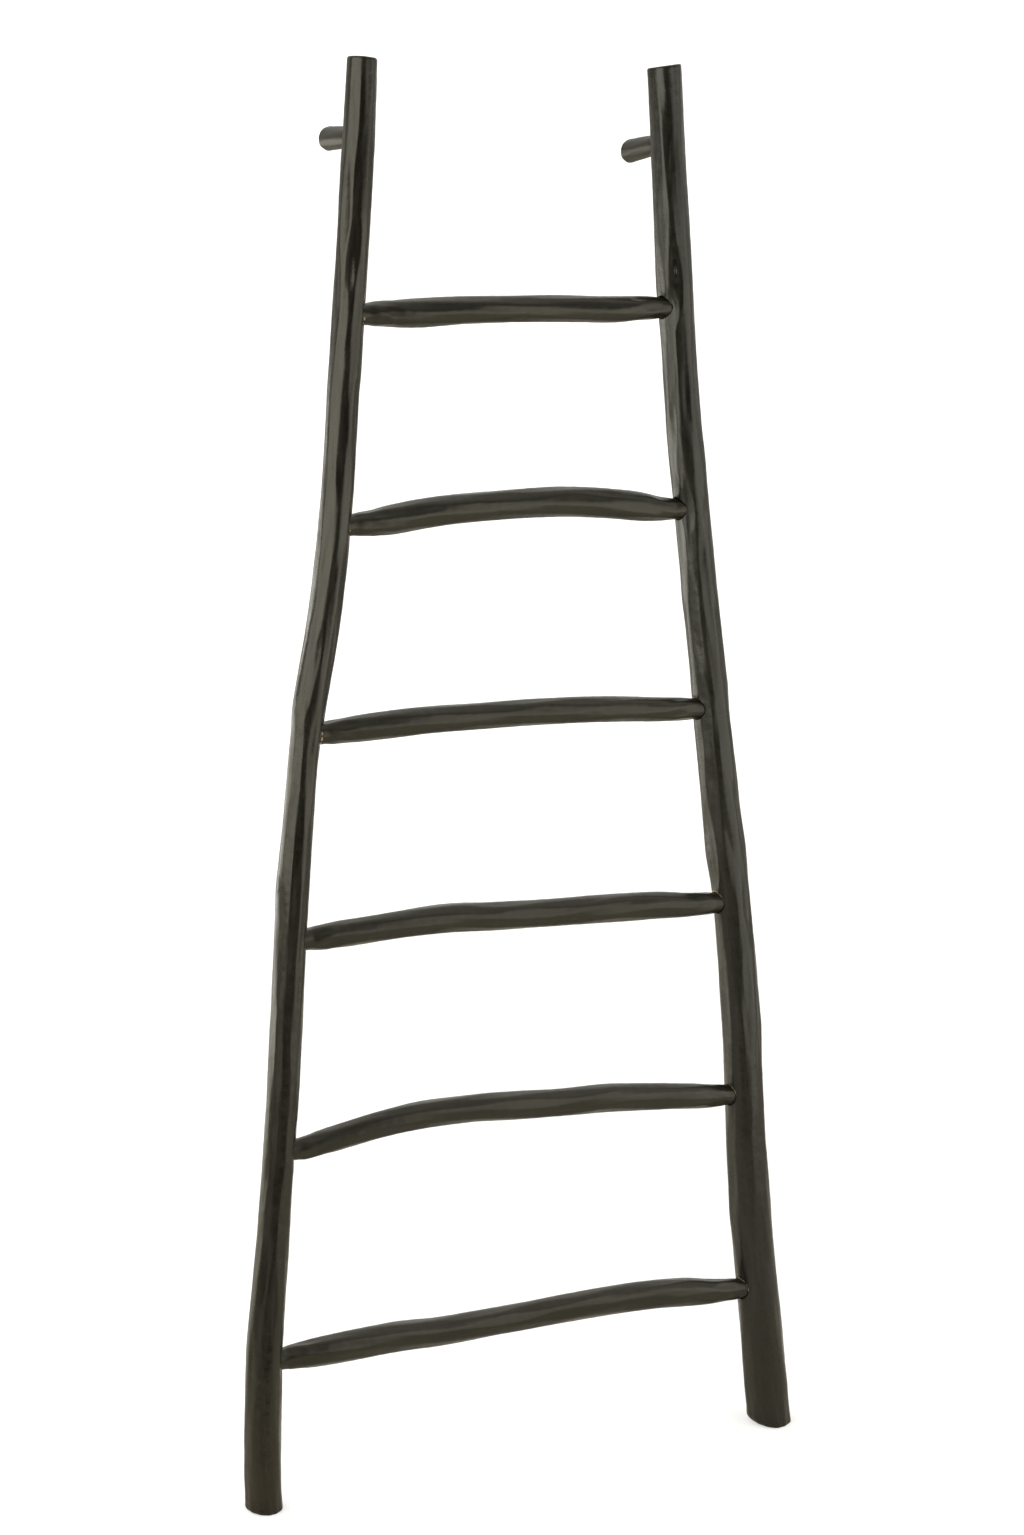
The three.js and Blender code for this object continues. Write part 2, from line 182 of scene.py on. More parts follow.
@dataclass(frozen=True)
class Strokes:
    """Drawknife strokes along a branch: half length, pitch, and depth as a share of the radius.

    A stroke cuts where the cosine of the angle from its facing is over least_cosine. Softness is how far, in
    millimetres, the ridges between strokes are rounded, and a ridge shows when it is rounded by ridge_from.
    """

    reach: float
    pitch: float
    depth: float
    unevenness: float = 0.35
    softness: float = 0.3
    twist: float = 0.3
    least_cosine: float = 0.5
    ridge_from: float = 0.35

    def cut(
        self, radius: Array, angle: Array, distance: Array, fade: Array | float = 1.0
    ) -> tuple[Array, Array]:
        """Radius after the strokes, and how near each point is to a ridge between two of them.

        Stroke number k faces k golden angles round, turning by a little along it, and is centred k pitches
        along. Its flat lies at the radius times (1 - depth * (1 - off^2)), where off is the distance from its
        centre over its reach. The branch keeps about the least of flat / cos(angle from its facing): it takes
        -softness * log of the sum of weight * exp(-flat / softness), where a stroke weighs 1 - off^2.

        Args:
            radius: radius before the strokes.
            angle: angle round the branch.
            distance: distance along it.
            fade: share of the depth, such as 0 where the strokes run out.

        Returns:
            The radius, and the ridges from 0 to 1.
        """
        angle, distance, radius = np.broadcast_arrays(angle, distance, radius)
        least = radius.copy()
        shared = np.ones(radius.shape)
        nearest = np.floor(distance / self.pitch)
        steps = math.ceil(self.reach / self.pitch)
        for step in range(-steps, steps + 2):
            number = nearest + step
            off = (distance - number * self.pitch) / self.reach
            facing = np.cos(angle - number * GOLDEN_ANGLE - self.twist * scatter(number, 2.3) * off)
            depth = self.depth * fade * (1 + self.unevenness * scatter(number, 1.7))
            reaches = (np.abs(off) < 1) & (facing > self.least_cosine)
            flat = radius * (1 - depth * (1 - off * off)) / np.where(reaches, facing, 1)
            flat = np.where(reaches, flat, FAR)
            lower = np.minimum(least, flat)
            weight = np.where(reaches, 1 - off * off, 0)
            shared = shared * np.exp((lower - least) / self.softness)
            shared = shared + weight * np.exp((lower - flat) / self.softness)
            least = lower
        ridge = np.log(shared)
        return least - self.softness * ridge, np.clip(ridge - self.ridge_from, 0, 1)


# ---- meshes


@dataclass
class Skin:
    """Points, faces and surface values of a closed piece, gathered part by part."""

    points: list[Array] = field(default_factory=list)
    faces: list[Array] = field(default_factory=list)
    wood: list[Array] = field(default_factory=list)
    masks: list[Array] = field(default_factory=list)
    count: int = 0

    def add(self, points: Array, wood: Array, masks: Array) -> int:
        """Adds points with their place in the straightened branch and their masks.

        Args:
            points: n by 3, in the ladder's plane.
            wood: n by 3, the place across and along the branch.
            masks: n by 3, the ridge, bare wood and sawn end masks.

        Returns:
            The number of the first point added.
        """
        first = self.count
        self.points.append(points.reshape(-1, 3))
        self.wood.append(wood.reshape(-1, 3))
        self.masks.append(masks.reshape(-1, 3))
        self.count += len(self.points[-1])
        return first

    def join(self, near: Array, far: Array) -> None:
        """Quads between two closed loops of as many points, near and far as seen from outside."""
        near_next, far_next = np.roll(near, -1), np.roll(far, -1)
        self.faces.append(np.stack([near, near_next, far_next, far], axis=1))

    def fan(self, loop: Array, middle: int) -> None:
        """Triangles from a closed loop to a middle point, wound as the loop runs."""
        self.faces.append(np.stack([loop, np.roll(loop, -1), np.full_like(loop, middle)], axis=1))

    def extend(self, last: Array, points: Array, wood: Array, masks: Array) -> Array:
        """Adds a ring of points and joins the last ring to it.

        Args:
            last: numbers of the last ring's points.
            points: n by 3, in the ladder's plane.
            wood: their place in the branch.
            masks: their masks.

        Returns:
            Numbers of the ring's points.
        """
        ring = self.add(points, wood, masks) + np.arange(len(points))
        self.join(last, ring)
        return ring

    def tube(
        self, points: Array, wood: Array, masks: Array, ends: Array, end_wood: Array, sawn: float = 0.0
    ) -> None:
        """Adds rings, each joined to the next, and closes both ends round a middle point.

        Args:
            points: rings by sides by 3, in the ladder's plane.
            wood: their place in the branch.
            masks: their masks.
            ends: the first and the last middle point.
            end_wood: their place in the branch.
            sawn: their sawn end mask.
        """
        number = self.add(points, wood, masks) + np.arange(points.size // 3).reshape(points.shape[:2])
        for near, far in zip(number[:-1], number[1:]):
            self.join(near, far)
        for loop, middle, place in zip((number[0][::-1], number[-1]), ends, end_wood):
            self.fan(loop, self.add(middle, place, np.array([0, 0, sawn])))

    def build(self, name: str) -> bpy.types.Object:
        """Mesh object of the points in use, with the attributes that the wood's material reads.

        Args:
            name: name of the object.

        Returns:
            The object, in the scene, smooth shaded.
        """
        points = np.concatenate(self.points)
        used = np.zeros(len(points), dtype=bool)
        for faces in self.faces:
            used[faces.ravel()] = True
        renumber = np.cumsum(used) - 1
        loops = np.concatenate([renumber[faces].ravel() for faces in self.faces])
        sizes = np.concatenate([np.full(len(faces), faces.shape[1]) for faces in self.faces])
        mesh = bpy.data.meshes.new(name)
        mesh.vertices.add(int(used.sum()))
        mesh.vertices.foreach_set("co", points[used].astype(np.float32).ravel())
        mesh.loops.add(len(loops))
        mesh.loops.foreach_set("vertex_index", loops.astype(np.int32))
        mesh.polygons.add(len(sizes))
        mesh.polygons.foreach_set("loop_start", (np.cumsum(sizes) - sizes).astype(np.int32))
        mesh.polygons.foreach_set("use_smooth", np.ones(len(sizes), dtype=bool))
        wood = mesh.attributes.new("wood", "FLOAT_VECTOR", "POINT")
        wood.data.foreach_set("vector", np.concatenate(self.wood)[used].astype(np.float32).ravel())
        masks = np.concatenate(self.masks)[used]
        for column, label in enumerate(("ridge", "bare", "sawn")):
            values = mesh.attributes.new(label, "FLOAT", "POINT")
            values.data.foreach_set("value", np.clip(masks[:, column], 0, 1).astype(np.float32))
        mesh.update(calc_edges=True)
        mesh.validate()
        piece = bpy.data.objects.new(name, mesh)
        bpy.context.scene.collection.objects.link(piece)
        return piece


# ---- pieces


@dataclass(frozen=True)
class Knot:
    """A swelling where a side branch grew, with a ringed scar in its middle.

    It lies at a share of the length and has a facing in degrees, the height of the swelling and the depth of
    the scar.
    """

    at: float
    faces: float
    swell: float
    scar: float = 0.35
    reach: float = 32
    scar_reach: float = 4.5
    scar_stretch: float = 3.4
    scar_rings: float = 5

    def grown(self, angle: Array, distance: Array, radius: Array) -> tuple[Array, Array]:
        """Height of the swelling and depth of the scar.

        With off the distance over the reach, the swelling is swell * exp(-off^2) * cos(angle from facing)^3.
        The scar is scar * exp(-away^2) * cos(rings * away), with away the way from the middle over its reach.

        Args:
            angle: angle round the pole.
            distance: distance along the pole from the knot.
            radius: the pole's radius.

        Returns:
            The height and the depth at each point.
        """
        off = distance / self.reach
        turn = turn_from(math.radians(self.faces), angle)
        away = np.hypot(distance / self.scar_stretch, turn * radius) / self.scar_reach
        swelling = self.swell * bell(off) * np.maximum(0, np.cos(turn)) ** 3
        return swelling, self.scar * bell(away) * np.cos(self.scar_rings * away)


@dataclass(frozen=True)
class Shave:
    """A broad flat: the height where it is deepest, its facing in degrees, half length and share of depth.

    Its facing turns by the twist, in degrees, from its middle to its end.
    """

    height: float
    faces: float
    reach: float
    depth: float
    twist: float = 0.0
    softness: float = 0.2
    least_cosine: float = 0.3
    most_exponent: float = 60

    def cut(self, radius: Array, angle: Array, z: Array) -> Array:
        """Radius after the flat, with its edges rounded as those of the strokes are.

        Args:
            radius: radius before the flat.
            angle: angle round the pole.
            z: height up the ladder.

        Returns:
            The radius.
        """
        off = (z - self.height) / self.reach
        facing = np.cos(angle - np.radians(self.faces + self.twist * off))
        flat = radius * (1 - self.depth * (1 - off * off)) / np.maximum(facing, self.least_cosine)
        weight = np.maximum(0, 1 - off * off)
        sunk = np.clip((radius - flat) / self.softness, -self.most_exponent, self.most_exponent)
        return radius - self.softness * np.log1p(weight * np.exp(sunk))


@dataclass(frozen=True)
class Bore:
    """A round hole bored into a pole, with a worn lip.

    The hole is seen along its own axis, so its edge is a circle in the plane of (sideways, up), and the
    pole's skin is met where a point has that sideways and up distance. Its floor and its depths are measured
    from the pole's axis, and lean is the slope of its own axis, sideways and up. Bare gives the angle round
    the hole where wood shows, the angle it fades over and its strength, and notch an angle and a depth.
    """

    faces: float
    height: float
    radius: float
    floor: float
    lean: tuple[float, float] = (0.0, 0.0)
    lip: float = 0.7
    bare: tuple[float, float, float] = NOT_BARE
    chips: float = 0.0
    notch: tuple[float, float] = (0.0, 0.0)
    notch_reach: float = 0.4

    def beside(self, around: Array, reach: Array | float, depth: Array) -> tuple[Array, Array]:
        """Sideways distance and height of points round the hole's axis, at a depth."""
        side = reach * np.cos(around) + self.lean[0] * depth
        return side, self.height + reach * np.sin(around) + self.lean[1] * depth

    def edge(self, around: Array) -> Array:
        """Worn edge as a share of a round one: three chips, three fine waves and the notch.

        Args:
            around: angle round the hole's axis.

        Returns:
            The share at each angle.
        """
        edge = 1 + self.chips * np.maximum(0, np.sin(3 * around + 1.1)) ** 6
        for size, turns, shift in ((0.012, 5, 1), (0.01, 13, 2), (0.008, 23, 0)):
            edge = edge + size * np.sin(turns * around + shift * self.height)
        return edge + self.notch[1] * bell(turn_from(self.notch[0], around) / self.notch_reach)

    def bareness(self, around: Array) -> Array:
        """How bare the wood of the lip is."""
        middle, spread, strength = self.bare
        return strength * bell(turn_from(middle, around) / spread)


@dataclass
class Pole:
    """A crooked pole, shaved by hand, sawn level at the foot and across at the tip.

    The form has rows of a share of the length, shares of the crook and of the bow, and a share of the radius.
    The skin lies out of the strokes by rise, and drops in again over the foot zone. Swell and chatter are the
    heights of the fine tool waves. Chipped lists the rungs whose sockets are chipped most, and bare_lips has
    the bare wood that a Bore takes for the rungs' sockets.
    """

    side: Side
    length: float
    radius: float
    crook: float
    bow: float
    foot_x: float
    tip_x: float
    tip_slope: float
    heel_faces: float
    heel_wear: float
    form: Rows
    knots: tuple[Knot, ...]
    shaves: list[Shave]
    peg_tilt: float
    seed: float
    lean: float
    lacquer: Colour
    socket_lip: float
    socket_notch: tuple[float, float]
    chipped: tuple[int, ...]
    bare_lips: dict[int, tuple[float, float, float]]
    strokes: Strokes = Strokes(95, 17, 0.032, unevenness=0.85, softness=0.4)
    paring: Strokes = Strokes(52, 4.3, 0.009, unevenness=0.8, softness=0.12)
    swell: float = 0.16
    chatter: float = 0.02
    chatter_length: float = 2.3
    rise: float = 0.8
    foot_drop: float = 1.81
    foot_zone: tuple[float, float] = (60, 15)
    foot_bevel: float = 2.4
    tip_bevel: float = 2.6
    saw_reach: float = 90
    window: float = 1.16
    window_margin: tuple[float, float] = (0.8, 2)
    sides: int = 112
    rings: int = 760
    bores: list[Bore] = field(default_factory=list)

    @property
    def name(self) -> str:
        """Name of the pole's CAD node."""
        return f"{self.side.value}_pole"

    @property
    def inward(self) -> float:
        """Angle that faces the other pole."""
        return 0.0 if self.side is Side.LEFT else math.pi

    @property
    def seam(self) -> float:
        """Angle of the first point of each ring, clear of every bore."""
        return self.inward + math.radians(225 if self.side is Side.LEFT else 135)

    def axis(self, z: Array) -> tuple[Array, Array, Array]:
        """Axis and radius of the pole's form.

        Args:
            z: heights up the ladder.

        Returns:
            Across and back place of the axis, and the radius.
        """
        share = np.asarray(z, dtype=float) / self.length
        across = self.foot_x + (self.tip_x - self.foot_x) * share + self.crook * along(self.form, share, 1)
        return across, self.bow * along(self.form, share, 2), self.radius * along(self.form, share, 3)

    def at(self, height: float) -> tuple[float, float, float]:
        """Across and back place of the axis, and the radius, at one height."""
        across, back, radius = self.axis(np.array([height]))
        return float(across[0]), float(back[0]), float(radius[0])

    def behind(self, height: float) -> float:
        """Distance of the skin behind the axis at one height."""
        return float(self.wall(np.array([np.pi / 2]), np.array([height]))[0][0])

    def wall(self, angle: Array, z: Array) -> tuple[Array, Array]:
        """Distance of the skin from the axis, and the ridges on it.

        The radius of the form is cut by the broad flats, swells at the knots, and is cut by the paring and by
        the strokes. Then the knots' scars come off and the fine tool waves and the rise come on.

        Args:
            angle: angle round the pole.
            z: height up the ladder.

        Returns:
            The distance and the ridges.
        """
        radius = self.axis(z)[2]
        scars = np.zeros(np.broadcast(angle, z).shape)
        swollen = radius + scars
        for shave in self.shaves:
            swollen = shave.cut(swollen, angle, z)
        for knot in self.knots:
            swelling, scar = knot.grown(angle, z - knot.at * self.length, radius)
            swollen, scars = swollen + swelling, scars + scar
        pared, _ = self.paring.cut(swollen, angle + 1, z)
        cut, ridge = self.strokes.cut(pared, angle, z)
        chatter = np.sin(z / self.chatter_length + 2 * ripple(angle, z * 0.5, self.seed))
        fine = self.swell * ripple(angle, z, self.seed) + self.chatter * chatter
        return cut - scars + fine + self.rise - self.foot_drop * smoothstep(z, *self.foot_zone), ridge

    def point(self, angle: Array, z: Array, distance: Array) -> Array:
        """Points at a distance from the axis, raised or lowered near the ends by the two saw cuts.

        Args:
            angle: angle round the pole.
            z: height up the ladder.
            distance: distance from the axis.

        Returns:
            Points in the ladder's plane.
        """
        across, back, _ = self.axis(z)
        dx, dy = distance * np.cos(angle), distance * np.sin(angle)
        foot = math.tan(self.lean) * (back + dy) * np.maximum(0, 1 - z / self.saw_reach)
        tip = self.tip_slope * dx * np.maximum(0, 1 - (self.length - z) / self.saw_reach)
        return np.stack(np.broadcast_arrays(across + dx, back + dy, z + foot + tip), axis=-1)

    def in_wood(self, angle: Array, z: Array, distance: Array) -> Array:
        """Places in the straightened branch, in metres, for the grain."""
        place = np.broadcast_arrays(distance * np.cos(angle), distance * np.sin(angle), z)
        return np.stack(place, axis=-1) / MM_PER_M

    def end_rings(self, angle: Array) -> tuple[Array, Array, Array, Array]:
        """Rings from the middle of the foot's face up the pole to the middle of the tip's face.

        Args:
            angle: the angles of one ring.

        Returns:
            Height for the form, height of the point, inset from the skin, and share of the radius, each as
            rings by angles.
        """
        heel = np.maximum(0, np.cos(angle - math.radians(self.heel_faces))) ** 2
        bevel = self.foot_bevel * (1 + self.heel_wear * heel)
        flat = np.zeros_like(angle)
        rows: list[tuple[Array, Array, Array, float]] = [(flat, flat, bevel, share) for share in FACE_SHARES]
        for turn in np.linspace(0, np.pi / 2, 6):
            rows.append((flat, bevel * (1 - np.cos(turn)), bevel * (1 - np.sin(turn)), 1.0))
        start, stop = self.foot_bevel, self.length - self.tip_bevel
        for z in start + (stop - start) * np.linspace(0, 1, self.rings)[1:]:
            above = np.maximum(z, bevel + (z - start) * 0.5) if z < 4 * bevel.max() else flat + z
            rows.append((flat + z, above, flat, 1.0))
        for turn in np.linspace(0, np.pi / 2, 5)[1:]:
            z = stop + self.tip_bevel * np.sin(turn)
            rows.append((flat + z, flat + z, flat + self.tip_bevel * (1 - np.cos(turn)), 1.0))
        tip = flat + self.length
        rows += [(tip, tip, flat + self.tip_bevel, share) for share in reversed(FACE_SHARES)]
        form, height, inset = (np.stack([row[k] for row in rows]) for k in range(3))
        return form, height, inset, np.array([row[3] for row in rows])[:, None]

    def skin(self) -> Skin:
        """The pole's closed skin: rings round the axis, with a patch let in at each bore.

        Returns:
            The skin in the ladder's plane.
        """
        angle = self.seam + np.linspace(0, 2 * np.pi, self.sides, endpoint=False)
        form, height, inset, share = self.end_rings(angle)
        distance, ridge = self.wall(angle[None, :], form)
        distance = (distance - inset) * share
        masks = np.stack([ridge * (share == 1), 0 * ridge, (share < 1) + 0 * ridge], axis=-1)
        skin = Skin()
        wood = self.in_wood(angle[None, :], height, distance)
        first = skin.add(self.point(angle[None, :], height, distance), wood, masks)
        number = first + np.arange(form.size).reshape(form.shape)
        keep = np.ones(form.shape, dtype=bool)
        for bore in self.bores:
            self.let_in(skin, bore, angle, form, number, keep)
        after = np.roll(number, -1, axis=1)
        quads = np.stack([number[:-1], after[:-1], after[1:], number[1:]], axis=-1)
        skin.faces.append(quads[keep[:-1]])
        zero = np.zeros(1)
        for loop, at in ((number[0][::-1], zero), (number[-1], zero + self.length)):
            centre = skin.add(self.point(zero, at, zero), self.in_wood(zero, at, zero), np.array([0, 0, 1.0]))
            skin.fan(loop, centre)
        return skin

    def let_in(self, skin: Skin, bore: Bore, angle: Array, form: Array, number: Array, keep: Array) -> None:
        """Lets a bored hole into the rings: a patch from a window in them to the hole's lip, wall and floor.

        The window's edge and the lip are joined in the plane of (sideways, up), in which the hole is round,
        and each point between them is put back on the pole's skin.

        Args:
            skin: the skin that takes the patch.
            bore: the hole.
            angle: the angles of one ring.
            form: heights of the rings.
            number: numbers of the rings' points.
            keep: which faces of the rings stay, changed in place.
        """
        window = self.window * bore.radius
        spread = math.asin(min(0.95, (window + self.window_margin[0]) / self.at(bore.height)[2]))
        turn = turn_from(bore.faces, angle)
        columns = np.nonzero(np.abs(turn) < spread)[0]
        rows = np.nonzero(np.abs(form[:, 0] - bore.height) < window + self.window_margin[1])[0]
        left, right, low, high = columns[0], columns[-1], rows[0], rows[-1]
        keep[low:high, left:right] = False
        loop = [(low, c) for c in range(left, right)] + [(r, right) for r in range(low, high)]
        loop += [(high, c) for c in range(right, left, -1)] + [(r, left) for r in range(high, low, -1)]
        row, column = np.array(loop).T
        last = number[row, column]
        out = self.wall(turn[column] + bore.faces, form[row, column])[0]
        depth = out * np.cos(turn[column])
        side = out * np.sin(turn[column]) - bore.lean[0] * depth
        up = form[row, column] - bore.height - bore.lean[1] * depth
        around, size = np.arctan2(up, side), np.hypot(side, up)
        edge, bareness = bore.edge(around), bore.bareness(around)
        rim = (bore.radius + bore.lip) * edge
        for share in PATCH_SHARES:
            bare = 0.5 * bareness * (share == 1.0)
            last = self.ring_on_skin(skin, bore, around, size + (rim - size) * share, 0.0, last, bare)
        patchy = 0.6 + 0.4 * np.sin(9 * around + bore.height)
        for share, sink in LIP_ROWS:
            reach = bore.radius + bore.lip * share * edge
            last = self.ring_on_skin(skin, bore, around, reach, sink * bore.lip, last, bareness * patchy)
        mouth = self.meet(bore, around, bore.radius)
        inner = [(bore.radius, mouth + (bore.floor - mouth) * s - bore.lip * (1 - s)) for s in BORE_SHARES]
        for reach, depth in (*inner, (0.4 * bore.radius, np.full_like(around, bore.floor))):
            points = self.bored(bore, around, reach, depth)
            last = skin.extend(last, points, points / MM_PER_M, np.zeros_like(points))
        middle = self.bored(bore, np.zeros(1), 0.0, np.array([bore.floor]))
        skin.fan(last, skin.add(middle, middle / MM_PER_M, np.zeros(3)))

    def meet(self, bore: Bore, around: Array, reach: Array | float) -> Array:
        """Depth at which a bore, or a wider tube round its axis, meets the skin.

        Args:
            bore: the hole.
            around: angle round the hole's axis.
            reach: distance from the hole's axis.

        Returns:
            The depth for each angle, found by setting the guess right eight times.
        """
        depth = np.full_like(around, self.at(bore.height)[2])
        for _ in range(8):
            side, up = bore.beside(around, reach, depth)
            distance = self.wall(bore.faces + np.arctan2(side, depth), up)[0]
            depth = np.sqrt(np.maximum(distance**2 - side**2, 1.0))
        return depth

    def bored(self, bore: Bore, around: Array, reach: Array | float, depth: Array) -> Array:
        """Points round a bore's axis, at a distance from it and at a depth."""
        side, up = bore.beside(around, reach, depth)
        return self.point(bore.faces + np.arctan2(side, depth), up, np.hypot(side, depth))

    def ring_on_skin(
        self, skin: Skin, bore: Bore, around: Array, reach: Array, sink: float, last: Array, bare: Array
    ) -> Array:
        """Adds a ring of points on the pole's skin round a bore, or sunk below it.

        Args:
            skin: the skin that takes the ring.
            bore: the hole.
            around: angle round the hole's axis.
            reach: distance from the hole's axis.
            sink: how deep the ring lies below the pole's skin.
            last: numbers of the ring that it is joined to.
            bare: bare wood mask.

        Returns:
            Numbers of the ring's points.
        """
        depth = self.meet(bore, around, reach)
        side, up = bore.beside(around, reach, depth)
        angle = bore.faces + np.arctan2(side, depth)
        distance, ridge = self.wall(angle, up)
        masks = np.stack([ridge * (sink == 0), bare, 0 * ridge], axis=-1)
        points = self.bored(bore, around, reach, depth - sink)
        return skin.extend(last, points, self.in_wood(angle, up, distance), masks)


@dataclass
class Rung:
    """A bowed rung with a whittled tenon at each end, laid between two poles.

    The form has rows of a share of the length, a share of the arch and a share of the radius. Low and high
    are its ends' levels, start and stop its ends on the poles' axes, and seat the left pole's radius. Missed
    is how bare the stain left a chip low on the front of its left end, at a share of the seat.
    """

    number: int
    left_up: float
    right_up: float
    radius: float
    arch: float
    belly: float
    form: Rows
    first_level: float = 200
    spacing: float = 275
    tenon_radius: float = 14.7
    tenon_past_axis: float = 9
    tenon_outside: float = 3
    missed: float = 0.0
    chip_at: float = 0.79
    chip_reach: float = 0.05
    chip_rings: tuple[float, ...] = (0.66, 0.72, 0.77, 0.82, 0.87, 0.93)
    chip_faces: float = 3.8
    chip_spread: float = 0.7
    strokes: Strokes = Strokes(70, 12, 0.04)
    whittling: Strokes = Strokes(28, 7, 0.07, softness=0.2)
    whittled_from: tuple[float, float] = (-4, 5)
    whittled_to: tuple[float, float] = (30, 62)
    swell: float = 0.12
    chatter: float = 0.04
    chatter_length: float = 2.7
    rise: float = 0.5
    rise_reach: float = 12
    sides: int = 84
    rings: int = 300
    low: float = field(init=False)
    high: float = field(init=False)
    start: Array = field(init=False)
    stop: Array = field(init=False)
    length: float = field(init=False)
    seat: float = field(init=False)
    left_shoulder: float = field(init=False)
    right_shoulder: float = field(init=False)

    @property
    def name(self) -> str:
        """Name of the rung's CAD node."""
        return f"rung_{self.number}"

    @property
    def seed(self) -> float:
        """Seed of the rung's waves."""
        return 3.7 * self.number

    def lay(self, left: Pole, right: Pole) -> None:
        """Finds the ends of the rung on the two poles' axes, and its shoulders.

        Args:
            left: the left pole.
            right: the right pole.
        """
        level = self.first_level + (self.number - 1) * self.spacing
        self.low, self.high = level + self.left_up, level + self.right_up
        left_across, left_back, self.seat = left.at(self.low)
        right_across, right_back, right_seat = right.at(self.high)
        self.start = np.array([left_across, left_back, self.low])
        self.stop = np.array([right_across, right_back, self.high])
        self.length = right_across - left_across
        self.left_shoulder = (self.seat + self.tenon_outside) / self.length
        self.right_shoulder = 1 - (right_seat + self.tenon_outside) / self.length

    def axis(self, share: Array) -> Array:
        """Points on the rung's axis.

        Args:
            share: shares of the length between the poles' axes.

        Returns:
            Points in the ladder's plane.
        """
        line = self.start + (self.stop - self.start) * share[..., None]
        rise = self.arch * along(((0.0, 0.0, 1.0), *self.form, (1.0, 0.0, 1.0)), share, 1)
        return line + np.stack([0 * share, self.belly * np.sin(np.pi * share), rise], axis=-1)

    def lean(self, side: Side, reach: float) -> tuple[float, float]:
        """Slope of the axis out of a pole, as its bore needs it.

        Args:
            side: the pole's side.
            reach: distance from the pole's axis over which the slope is taken.

        Returns:
            The slope sideways, as seen along the bore, and up.
        """
        share = reach / self.length
        if side is Side.LEFT:
            step = self.axis(np.array([share]))[0] - self.start
            return step[1] / step[0], step[2] / step[0]
        step = self.axis(np.array([1 - share]))[0] - self.stop
        return step[1] / step[0], -step[2] / step[0]

    def skin(self) -> Skin:
        """The rung's closed skin: rings round its axis, tenons and shaved body, closed at both ends.

        Returns:
            The skin in the ladder's plane.
        """
        angle = np.linspace(0, 2 * np.pi, self.sides, endpoint=False)[None, :]
        left, right, past = self.left_shoulder, self.right_shoulder, self.tenon_past_axis / self.length
        chip_rings = self.seat / self.length * np.array(self.chip_rings)
        inside = [-past, -past * 0.4, 0.4 * left, *chip_rings]
        beyond = [1 - 0.8 * (1 - right), 1 - 0.4 * (1 - right), 1 + past * 0.4, 1 + past]
        share = np.concatenate([inside, np.linspace(left, right, self.rings), beyond])[:, None]
        in_body = (share > left) & (share < right)
        tenon = self.tenon_radius / self.radius
        whittled = ((left, 0.0, tenon), *self.form, (right, 0.0, tenon))
        radius = np.where(in_body, self.radius * along(whittled, share, 2), self.tenon_radius)
        to_shoulder = np.minimum(share - left, right - share) * self.length
        distance = share * self.length
        fade = smoothstep(to_shoulder, 0, self.strokes.reach / 2)
        cut, ridge = self.strokes.cut(radius, angle, distance, fade)
        near_end = smoothstep(to_shoulder, *self.whittled_from)
        near_end = near_end * (1 - smoothstep(to_shoulder, *self.whittled_to))
        cut, edge = self.whittling.cut(cut, angle + self.number, distance, near_end)
        fine = self.swell * ripple(angle, distance, self.seed)
        fine = fine + self.chatter * np.sin(distance / self.chatter_length)
        cut = cut + np.where(in_body, fine + self.rise * smoothstep(to_shoulder, 0, self.rise_reach), 0)
        flat = cut * np.cos(angle), cut * np.sin(angle)
        low_front = bell((angle - self.chip_faces - 0.3 * scatter(self.number, 1)) / self.chip_spread)
        chip = bell((distance - self.chip_at * self.seat) / (self.chip_reach * self.seat))
        bare = self.missed * low_front * chip * (0.7 + 0.5 * np.sin(11 * angle))
        masks = np.stack([np.maximum(ridge, edge * near_end) * in_body, bare, 0 * cut], axis=-1)
        wood = np.stack([*flat, distance + 0 * cut], axis=-1) / MM_PER_M
        axis = self.axis(share[:, 0])
        skin = Skin()
        ends = axis[[0, -1]]
        skin.tube(axis[:, None, :] + np.stack([0 * cut, *flat], axis=-1), wood, masks, ends, ends / MM_PER_M)
        return skin


